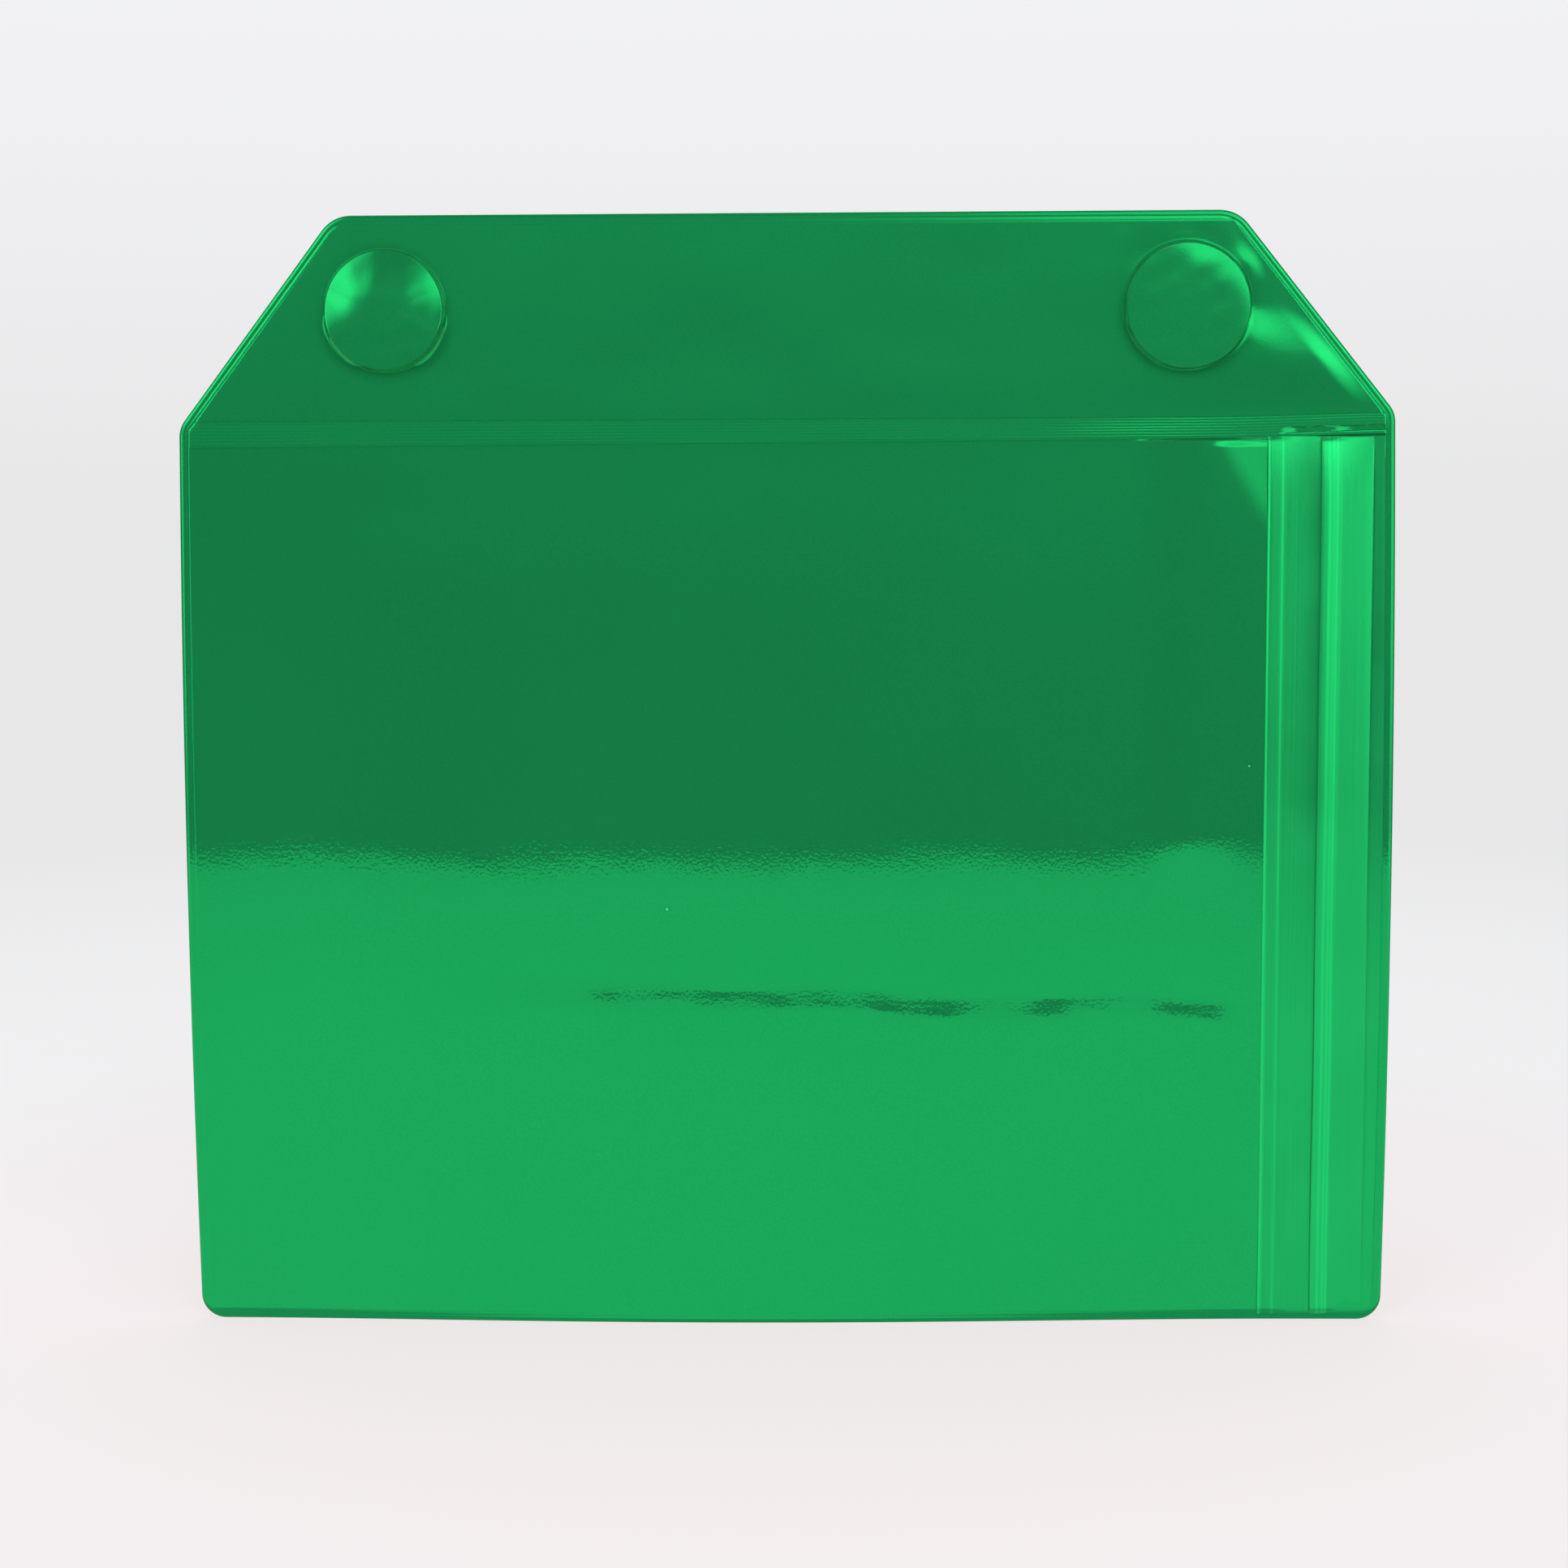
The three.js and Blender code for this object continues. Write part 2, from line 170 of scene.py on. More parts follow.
def add_node(
    tree: bpy.types.NodeTree,
    kind: str,
    values: dict[str | int, object] | None = None,
    links: dict[str | int, bpy.types.NodeSocket] | None = None,
    **settings: object,
) -> bpy.types.Node:
    """Adds a shader node with its settings and links.

    Args:
        tree: Node tree that gets the node.
        kind: Node type.
        values: Input sockets and their fixed values.
        links: Input sockets and the outputs that feed them.
        settings: Properties of the node itself.

    Returns:
        The new node.
    """
    node = tree.nodes.new(kind)
    for name, value in settings.items():
        setattr(node, name, value)
    for socket, value in (values or {}).items():
        node.inputs[socket].default_value = value
    for socket, source in (links or {}).items():
        tree.links.new(source, node.inputs[socket])
    return node


def new_material(name: str) -> tuple[bpy.types.Material, bpy.types.NodeTree]:
    """Starts an empty node material.

    Args:
        name: Name of the material.

    Returns:
        The material and its node tree.
    """
    material = bpy.data.materials.new(name)
    material.use_nodes = True
    material.node_tree.nodes.clear()
    return material, material.node_tree


def surface(
    tree: bpy.types.NodeTree,
    colour: bpy.types.Node,
    roughness: bpy.types.Node,
    bump: bpy.types.Node,
    gloss: dict[str | int, object],
) -> None:
    """Joins the parts of a material into its surface.

    Args:
        tree: Node tree of the material.
        colour: Node that gives the base colour.
        roughness: Node that gives the roughness.
        bump: Node that gives the normal.
        gloss: Shader sockets and their fixed values.
    """
    links = {
        "Base Color": colour.outputs["Result"], "Roughness": roughness.outputs[0], "Normal": bump.outputs[0],
    }
    shader = add_node(tree, "ShaderNodeBsdfPrincipled", gloss, links)
    add_node(tree, "ShaderNodeOutputMaterial", links={"Surface": shader.outputs[0]})


@dataclass(frozen=True)
class SoftPvc:
    """Plasticised PVC, coloured all through: its gloss mirrors the surroundings in its own green."""

    name: str
    deep: str
    light: str
    specks_and_highlights: str
    body_share: float
    body_range: Span
    smooth: float
    worn: float
    wear_range: Span
    mirror_tint: str = "#24ff84"
    ior: float = 1.54
    specular: float = 0.72

    def coat(
        self,
        tree: bpy.types.NodeTree,
        body: tuple[bpy.types.NodeSocket, bpy.types.NodeSocket],
        specks_and_highlights: bpy.types.NodeSocket,
        wear: bpy.types.NodeSocket,
        bump: bpy.types.Node,
    ) -> None:
        """Joins the green body, its lighter specks and painted highlights, its wear and its bump into the
        surface.

        Args:
            tree: Node tree of the material.
            body: Two patterns that together make the green deeper or lighter.
            specks_and_highlights: Pattern of the dust specks on the film and of the painted highlights on the
                tape.
            wear: Pattern that dulls the gloss.
            bump: Node that gives the normal.
        """
        blended = add_node(
            tree, "ShaderNodeMath", {1: self.body_share}, {0: body[0], 2: body[1]}, operation="MULTIPLY_ADD"
        )
        share = add_node(
            tree, "ShaderNodeMapRange", dict(enumerate(self.body_range, 1)), {0: blended.outputs[0]}
        )
        green = add_node(
            tree, "ShaderNodeMix", {"A": linear(self.deep), "B": linear(self.light)},
            {"Factor": share.outputs[0]}, data_type="RGBA",
        )
        colour = add_node(
            tree, "ShaderNodeMix", {"B": linear(self.specks_and_highlights)},
            {"Factor": specks_and_highlights, "A": green.outputs["Result"]}, data_type="RGBA",
        )
        roughness = add_node(
            tree, "ShaderNodeMapRange", dict(enumerate((*self.wear_range, self.smooth, self.worn), 1)),
            {0: wear},
        )
        gloss = {
            "IOR": self.ior, "Specular IOR Level": self.specular, "Specular Tint": linear(self.mirror_tint),
        }
        surface(tree, colour, roughness, bump, gloss)


@dataclass(frozen=True)
class CalenderedFilm(SoftPvc):
    """Plasticised PVC film, calendered and press-polished.

    The polish mirrors its surroundings, the rollers leave a fine orange peel that breaks up the edges of
    a reflection, and handling leaves faint smears and a few specks of dust. A fine mottle in the green is
    painted light and shade of the orange peel; the real peel is finer, and the mottle is drawn as coarse as
    it needs to show.
    """

    name: str = "calendered_pvc_film"
    deep: str = "#12733f"
    light: str = "#157a44"
    # Colour of the film's dust specks.
    specks_and_highlights: str = "#4fc98a"
    body_share: float = 0.45
    body_range: Span = (0.45, 1.0)
    smooth: float = 0.012
    worn: float = 0.045
    wear_range: Span = (0.4, 0.75)
    cloud: float = 55.0
    # Size of the fine mottle, painted light and shade of the orange peel.
    peel_shade_mottle: float = 0.4
    smear: float = 24.0
    peel: float = 0.6
    peel_height: float = 0.005
    speck_spacing: float = 11.0
    speck_size: float = 0.2
    speck_rarity: float = 0.86

    def material(self) -> bpy.types.Material:
        """Makes the film's material, which works in object space.

        Returns:
            The material.
        """
        material, tree = new_material(self.name)
        place = add_node(tree, "ShaderNodeTexCoord").outputs["Object"]
        clouds, peel_shade_mottle, peel, smears = (
            add_node(
                tree, "ShaderNodeTexNoise",
                {"Scale": per_metre(size), "Detail": detail, "Distortion": twist}, {"Vector": place},
            ).outputs["Fac"]
            for size, detail, twist in (
                (self.cloud, 3.0, 0.0), (self.peel_shade_mottle, 2.0, 0.0), (self.peel, 1.0, 0.0),
                (self.smear, 4.0, 0.6),
            )
        )
        cells = add_node(
            tree, "ShaderNodeTexVoronoi", {"Scale": per_metre(self.speck_spacing)}, {"Vector": place}
        )
        near = add_node(
            tree, "ShaderNodeMath", {1: self.speck_size / self.speck_spacing},
            {0: cells.outputs["Distance"]}, operation="LESS_THAN",
        )
        lot = add_node(tree, "ShaderNodeSeparateColor", links={"Color": cells.outputs["Color"]})
        few = add_node(
            tree, "ShaderNodeMath", {1: self.speck_rarity}, {0: lot.outputs["Red"]}, operation="GREATER_THAN"
        )
        speck = add_node(
            tree, "ShaderNodeMath", links={0: near.outputs[0], 1: few.outputs[0]}, operation="MULTIPLY"
        )
        bump = add_node(
            tree, "ShaderNodeBump", {"Strength": 1.0, "Distance": self.peel_height * MM}, {"Height": peel}
        )
        # The fine mottle mixed into the green is painted light and shade of the orange peel.
        self.coat(tree, (clouds, peel_shade_mottle), speck.outputs[0], smears, bump)
        return material


@dataclass(frozen=True)
class ExtrudedTape(SoftPvc):
    """Soft PVC tape, extruded through a die.

    It is a lighter green and less polished than the film, and the die draws fine lines along its length.
    Lighter green is painted along its welded edge, its crease and the tops of its zip ridges and lip, as
    highlights that these would catch. Lines and grain are finer on the real tape; they are drawn as coarse
    as they need to show.
    """

    name: str = "extruded_pvc_tape"
    deep: str = "#147a43"
    light: str = "#178349"
    # Colour of the tape's painted highlights.
    specks_and_highlights: str = "#1aa85b"
    body_share: float = 0.6
    body_range: Span = (0.5, 1.1)
    smooth: float = 0.13
    worn: float = 0.2
    wear_range: Span = (0.35, 0.7)
    cloud: float = 18.0
    die_line: float = 0.45
    die_run: float = 90.0
    die_height: float = 0.012
    grain: float = 0.8
    grain_height: float = 0.008

    def material(self) -> bpy.types.Material:
        """Makes the tape's material, which works in object space.

        Returns:
            The material.
        """
        material, tree = new_material(self.name)
        place = add_node(tree, "ShaderNodeTexCoord").outputs["Object"]
        drawn = add_node(
            tree, "ShaderNodeMapping",
            {"Scale": (per_metre(self.die_line), per_metre(self.die_line), per_metre(self.die_run))},
            {"Vector": place},
        )
        lines, clouds, grain = (
            add_node(
                tree, "ShaderNodeTexNoise", {"Scale": scale, "Detail": detail}, {"Vector": where}
            ).outputs["Fac"]
            for scale, detail, where in (
                (1.0, 2.0, drawn.outputs[0]), (per_metre(self.cloud), 3.0, place),
                (per_metre(self.grain), 2.0, place),
            )
        )
        # Painted highlights: lighter green on the tape's edge, crease, zip ridges and lip, read from the mesh
        # layer.
        painted_highlights = add_node(tree, "ShaderNodeAttribute", attribute_name=PAINTED_HIGHLIGHT_LAYER)
        fine = add_node(
            tree, "ShaderNodeBump", {"Strength": 1.0, "Distance": self.grain_height * MM}, {"Height": grain}
        )
        bump = add_node(
            tree, "ShaderNodeBump", {"Strength": 1.0, "Distance": self.die_height * MM},
            {"Height": lines, "Normal": fine.outputs[0]},
        )
        self.coat(tree, (lines, clouds), painted_highlights.outputs["Fac"], clouds, bump)
        return material


@dataclass(frozen=True)
class NickelPlating:
    """Bright nickel plating on a tumbled sintered magnet.

    It is a warm grey mirror, softened by the fine pits that the tumbling leaves. The pits are drawn
    coarser than the real ones, so that they show.
    """

    name: str = "nickel_plating"
    bright: str = "#cfcac0"
    dull: str = "#a9a59c"
    smooth: float = 0.16
    pitted: float = 0.34
    pit: float = 0.5
    pit_height: float = 0.01
    stain: float = 6.0

    def material(self) -> bpy.types.Material:
        """Makes the plating's material, which works in object space.

        Returns:
            The material.
        """
        material, tree = new_material(self.name)
        place = add_node(tree, "ShaderNodeTexCoord").outputs["Object"]
        stains, pits = (
            add_node(
                tree, "ShaderNodeTexNoise", {"Scale": per_metre(size), "Detail": detail}, {"Vector": place}
            ).outputs["Fac"]
            for size, detail in ((self.stain, 4.0), (self.pit, 3.0))
        )
        colour = add_node(
            tree, "ShaderNodeMix", {"A": linear(self.bright), "B": linear(self.dull)}, {"Factor": stains},
            data_type="RGBA",
        )
        roughness = add_node(
            tree, "ShaderNodeMapRange", {"To Min": self.smooth, "To Max": self.pitted}, {"Value": stains}
        )
        bump = add_node(
            tree, "ShaderNodeBump", {"Strength": 1.0, "Distance": self.pit_height * MM}, {"Height": pits}
        )
        surface(tree, colour, roughness, bump, {"Metallic": 1.0})
        return material


def signed_volume(points: np.ndarray, faces: Faces) -> float:
    """Measures a closed mesh, negative where its faces look inwards.

    Args:
        points: Vertices.
        faces: Polygons of vertex numbers.

    Returns:
        The volume in cubic units of the points.
    """
    fans = [(f[0], f[i], f[i + 1]) for f in faces for i in range(1, len(f) - 1)]
    a, b, c = (points[np.array([fan[i] for fan in fans])] for i in range(3))
    return float(np.einsum("ij,ij->i", a, np.cross(b, c)).sum() / 6.0)


def add_object(name: str, data: bpy.types.ID) -> bpy.types.Object:
    """Puts a new object with the given data into the scene.

    Args:
        name: Name of the object.
        data: Its mesh, camera or light.

    Returns:
        The object.
    """
    made = bpy.data.objects.new(name, data)
    bpy.context.scene.collection.objects.link(made)
    return made


def add_piece(
    name: str, points: np.ndarray, faces: Faces, finish: bpy.types.Material, slot: Slot, *nodes: str
) -> bpy.types.Object:
    """Makes one closed piece, with its faces looking outwards, that stands for CAD nodes.

    Args:
        name: Name of the piece.
        points: Vertices in millimetres.
        faces: Polygons of vertex numbers.
        finish: Material of the piece.
        slot: Material slot of the record; not used.
        nodes: CAD nodes that it replaces.

    Returns:
        The new object, in metres.
    """
    if signed_volume(points, faces) < 0.0:
        faces = [face[::-1] for face in faces]
    mesh = bpy.data.meshes.new(name)
    mesh.from_pydata((points * MM).tolist(), [], faces)
    mesh.polygons.foreach_set("use_smooth", [True] * len(mesh.polygons))
    mesh.set_sharp_from_angle(angle=SHARP_ANGLE)
    mesh.materials.append(finish)
    piece = add_object(name, mesh)
    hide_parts(*nodes)
    return piece


def film_solid(front: np.ndarray, faces: Faces, thickness: float) -> tuple[np.ndarray, Faces]:
    """Closes a front surface into a film.

    Args:
        front: Points of the front.
        faces: Faces of the front.
        thickness: Thickness of the film, behind the front.

    Returns:
        Vertices and faces of the closed film, without unused points.
    """
    count = len(front)
    edges = {(a, b) for face in faces for a, b in zip(face, face[1:] + face[:1])}
    walls = [(b, a, a + count, b + count) for a, b in sorted(edges) if (b, a) not in edges]
    back = [tuple(i + count for i in reversed(face)) for face in faces]
    points = np.concatenate([front, front + np.array([0.0, thickness, 0.0])])
    solid = faces + back + walls
    used = np.unique(np.concatenate([np.array(face) for face in solid]))
    renumber = np.zeros(len(points), int)
    renumber[used] = np.arange(len(used))
    return points[used], [tuple(renumber[list(face)].tolist()) for face in solid]


def gridded_film(
    front: np.ndarray, thickness: float, hole: np.ndarray | None = None
) -> tuple[np.ndarray, Faces]:
    """Closes a grid of front points into a film.

    Args:
        front: Grid of points, by row and column.
        thickness: Thickness of the film, behind the front.
        hole: True at the points of the grid that are cut out.

    Returns:
        Vertices and faces of the closed film.
    """
    index = np.arange(front.shape[0] * front.shape[1]).reshape(front.shape[:2])
    quads = np.stack([index[:-1, :-1], index[:-1, 1:], index[1:, 1:], index[1:, :-1]], -1).reshape(-1, 4)
    if hole is not None:
        quads = quads[~hole.reshape(-1)[quads].any(axis=1)]
    return film_solid(front.reshape(-1, 3), [tuple(quad) for quad in quads.tolist()], thickness)


def round_film(front: np.ndarray, centre: np.ndarray, thickness: float) -> tuple[np.ndarray, Faces]:
    """Closes rings of front points into a round film.

    Args:
        front: Points by ring, from the inside out, and by place round the ring.
        centre: Point in the middle.
        thickness: Thickness of the film, behind the front.

    Returns:
        Vertices and faces of the closed film.
    """
    rings, around = front.shape[:2]
    middle = rings * around
    index = np.arange(middle).reshape(rings, around)
    turned = np.roll(index, -1, axis=1)
    quads = np.stack([index[:-1], index[1:], turned[1:], turned[:-1]], -1).reshape(-1, 4)
    fan = [(middle, int(a), int(b)) for a, b in zip(index[0], turned[0])]
    points = np.concatenate([front.reshape(-1, 3), centre[None]])
    return film_solid(points, fan + [tuple(quad) for quad in quads.tolist()], thickness)


def swept_solid(sections: np.ndarray, closed: bool) -> tuple[np.ndarray, Faces]:
    """Joins a run of alike sections into a solid.

    Args:
        sections: Points by station and place round the section.
        closed: Whether the last station meets the first again.

    Returns:
        Vertices and faces of the solid.
    """
    stations, around = sections.shape[:2]
    index = np.arange(stations * around).reshape(stations, around)
    if closed:
        index = np.concatenate([index, index[:1]])
    turned = np.roll(index, -1, axis=1)
    quads = np.stack([index[:-1], turned[:-1], turned[1:], index[1:]], -1).reshape(-1, 4)
    faces = [tuple(face) for face in quads.tolist()]
    if not closed:
        faces += [tuple(index[0, ::-1].tolist()), tuple(index[-1].tolist())]
    return sections.reshape(-1, 3), faces


@dataclass(frozen=True)
class Outline:
    """Outer shape of the sheets, seen from the front, with sides that bow out a little."""

    half_width: float = 114.55
    half_top_edge: float = 84.6
    top: float = 17.7
    left_shoulder: float = -21.7
    right_shoulder: float = -20.0
    bottom: float = -194.3
    side_bow: float = 0.8
    top_radius: float = 7.0
    shoulder_radius: float = 5.0
    bottom_radius: float = 4.6
    arc_steps: int = 14
    edge_step: float = 1.0
    left_slope: Span = (-84.0, -100.0)
    film_inset: float = 1.1
    film_drop: float = 0.36
    film_pinch: Span = (1.8, 1.15)

    def corners(self) -> list[tuple[float, float, float]]:
        """Lists the corners, from the lower left round to the left shoulder.

        Returns:
            Place across, height and radius of each corner.
        """
        wide, narrow = self.half_width, self.half_top_edge
        return [
            (-wide, self.bottom, self.bottom_radius), (wide, self.bottom, self.bottom_radius),
            (wide, self.right_shoulder, self.shoulder_radius), (narrow, self.top, self.top_radius),
            (-narrow, self.top, self.top_radius), (-wide, self.left_shoulder, self.shoulder_radius),
        ]

    def bulge(self, z: np.ndarray) -> np.ndarray:
        """Gives how much wider than its corners the outline is at each height, as a share.

        Args:
            z: Heights.

        Returns:
            The share of the width at each height.
        """
        half = (self.left_shoulder - self.bottom) / 2.0
        along = (z - self.bottom - half) / half
        return self.side_bow / self.half_width * np.clip(1.0 - along**2, 0.0, 1.0)

    def loop(self, step: float) -> tuple[np.ndarray, np.ndarray]:
        """Walks round the rounded outline.

        Args:
            step: Spacing of the points along the straight edges.

        Returns:
            Points of the outline and the outward normal at each.
        """
        corners = self.corners()
        arcs = []
        for i, (x, z, radius) in enumerate(corners):
            here = np.array([x, z])
            before, after = (np.array(corners[k % len(corners)][:2]) for k in (i - 1, i + 1))
            inward, outward = here - before, after - here
            first, last = (np.array([d[1], -d[0]]) / np.linalg.norm(d) for d in (inward, outward))
            centre = here - radius * (first + last) / (1.0 + first @ last)
            start, end = (math.atan2(n[1], n[0]) for n in (first, last))
            sweep = (end - start) % (2.0 * math.pi)
            angles = start + sweep * np.linspace(0.0, 1.0, self.arc_steps + 1)
            normals = np.stack([np.cos(angles), np.sin(angles)], -1)
            arcs.append((centre + radius * normals, normals))
        points, normals = [], []
        for (here, facing), (there, _) in zip(arcs, arcs[1:] + arcs[:1]):
            points.append(here)
            normals.append(facing)
            run = there[0] - here[-1]
            shares = np.linspace(0.0, 1.0, max(2, round(np.linalg.norm(run) / step) + 1))[1:-1, None]
            points.append(here[-1] + shares * run)
            normals.append(np.repeat(facing[-1:], len(shares), axis=0))
        edge = np.concatenate(points)
        edge[:, 0] *= 1.0 + self.bulge(edge[:, 1])
        return edge, np.concatenate(normals)

    def edge_at(self, z: np.ndarray, inset: float, side: int) -> np.ndarray:
        """Gives where the left or right edge is at each height.

        Args:
            z: Heights.
            inset: Distance inside the outer edge.
            side: -1 for the left edge, 1 for the right one.

        Returns:
            The place across of the inset outline at each height.
        """
        points, normals = self.loop(self.edge_step)
        inner = points - inset * normals
        chosen = inner[(side * inner[:, 0] > 0.0) & (side * normals[:, 0] > 1e-6)]
        chosen = chosen[np.argsort(chosen[:, 1])]
        return np.interp(z, chosen[:, 1], chosen[:, 0])

    def inset(self, x: np.ndarray, z: np.ndarray) -> np.ndarray:
        """Gives how far inside the outer edge each place is.

        Args:
            x: Places across.
            z: Heights.

        Returns:
            The distance from each place.
        """
        corners = self.corners()
        x = x / (1.0 + self.bulge(z))
        nearest = np.full(np.shape(x), np.inf)
        for (ax, az, _), (bx, bz, _) in zip(corners, corners[1:] + corners[:1]):
            length = math.hypot(bx - ax, bz - az)
            nearest = np.minimum(nearest, ((z - az) * (bx - ax) - (x - ax) * (bz - az)) / length)
        return nearest

    def pinch(self, inset: np.ndarray) -> np.ndarray:
        """Gives how far a front film is pressed back beside the fused border."""
        return self.film_drop * ease(inset, *self.film_pinch)


@dataclass(frozen=True)
class Lie:
    """How the whole pocket lies: upright, with its lower edge bowed forwards as it stands."""

    outline: Outline
    bow: float = 3.2
    bow_height: float = 80.0
    bow_half_width: float = 106.0
    bow_centre: float = -9.0

    def place(self, x: np.ndarray, depth: np.ndarray, z: np.ndarray) -> np.ndarray:
        """Puts points into the frame.

        Args:
            x: Places across.
            depth: Depths forwards from the back face, without the bow.
            z: Heights.

        Returns:
            Points of the frame, one for each place.
        """
        x, depth, z = np.broadcast_arrays(x, depth, z)
        low = np.clip(1.0 - (z - self.outline.bottom) / self.bow_height, 0.0, 1.0)
        aside = np.clip(1.0 - ((x - self.bow_centre) / self.bow_half_width) ** 2, 0.0, 1.0)
        return np.stack([x, -depth - self.bow * low**2 * aside**2, z], -1)


@dataclass(frozen=True)
class Fold:
    """Living hinge between the header and the pocket."""

    height: float = -20.7
    depth: float = 1.25
    reach: float = 2.0

    def bend(self, piece: bpy.types.Object) -> None:
        """Bakes the placement of a film that crosses the fold into its mesh; it does not bend the film.

        Args:
            piece: Film that crosses the fold.
        """
        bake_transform(piece)


@dataclass
class WeldedPart:
    """What the parts share: the sheets' outline, how the pocket lies, and the part's own material."""

    outline: Outline
    lie: Lie
    finish: bpy.types.Material


@dataclass(frozen=True)
class Blister:
    """Film formed over one magnet, with the slack that lets part of its crown droop."""

    name: str
    x: float
    rise: float = 3.02
    flat_radius: float = 10.95
    foot_radius: float = 11.6
    ring_radius: float = 12.1
    ring_rise: float = 0.0
    ring_width: float = 0.3
    rim_radius: float = 14.0
    overlap: float = 0.3
    proud: float = 0.02
    skirt: float = 0.32
    skirt_start: float = 0.1
    skirt_run: float = 0.4
    skirt_low: Span = (0.0, 0.3)
    skirt_aside: Span = (0.35, 0.7)
    slack: float = 1.3
    slack_from: float = 3.0
    slack_power: float = 1.4
    slack_end: float = 12.0
    slack_heading: float = math.radians(90)
    slack_aside: Span = (-0.46, 0.35)
    lean: float = 0.0
    lean_soft: float = 3.0
    puckers: Waves = ((0.012, 5.5, 14),)
    pucker_from: Span = (2.0, 5.0)
    around: int = 144

    def height(self, x: np.ndarray, z: np.ndarray) -> np.ndarray:
        """Gives the film's height over the header at each place.

        Args:
            x: Places across.
            z: Heights.

        Returns:
            The height at each place.
        """
        across = x - self.x
        radius, heading = np.hypot(across, z), np.arctan2(z, across)
        up = ease(np.cos(heading - self.slack_heading), *self.slack_aside)
        droop = np.clip((radius - self.slack_from) / (self.slack_end - self.slack_from), 0.0, None)
        along = across * math.cos(self.slack_heading) + z * math.sin(self.slack_heading)
        lean = self.lean * (along + np.hypot(along, self.lean_soft)) / 2.0
        top = self.rise - self.slack * up * droop**self.slack_power - lean
        top = top + ripples(x, z, self.puckers) * ease(radius, *self.pucker_from)
        wall = ease(radius, self.foot_radius, self.flat_radius)
        low = ease(-np.sin(heading), *self.skirt_low) * ease(np.abs(np.cos(heading)), *self.skirt_aside)
        away = np.clip(radius - self.foot_radius + self.skirt_start, 0.0, None)
        skirt = self.skirt * low * np.exp(-away / self.skirt_run)
        ring = self.ring_rise * bell(radius - self.ring_radius, self.ring_width)
        return top * wall + (1.0 - wall) * skirt + ring

    def covers(self, x: np.ndarray, z: np.ndarray) -> np.ndarray:
        """Tells which places the blister covers well inside its rim."""
        return np.hypot(x - self.x, z) < self.ring_radius - self.overlap

    def build(self, cover: "HeaderCover") -> bpy.types.Object:
        """Builds the blister in the given header film and dresses it.

        Args:
            cover: Header film that the blister is formed in.

        Returns:
            The blister.
        """
        radii = stops(
            (0.6, 9.0, 0.6), (9.0, 10.5, 0.25), (10.5, 12.8, 0.08), (12.8, self.rim_radius, 0.2)
        )[:, None]
        turn = np.linspace(0.0, 2.0 * math.pi, self.around, endpoint=False)[None, :]
        x, z = self.x + radii * np.cos(turn), radii * np.sin(turn)
        proud = self.proud * ease(radii, self.rim_radius + self.overlap, self.ring_radius)
        front = cover.lie.place(x, cover.front(x, z) + self.height(x, z) + proud, z)
        middle = np.array([self.x]), np.zeros(1)
        peak = cover.front(*middle) + self.height(*middle)
        points, faces = round_film(front, cover.lie.place(middle[0], peak, middle[1])[0], cover.thickness)
        piece = add_piece(self.name, points, faces, cover.finish, Slot.FILM, "header_cover")
        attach(piece, Body.HEADER.value)
        return piece


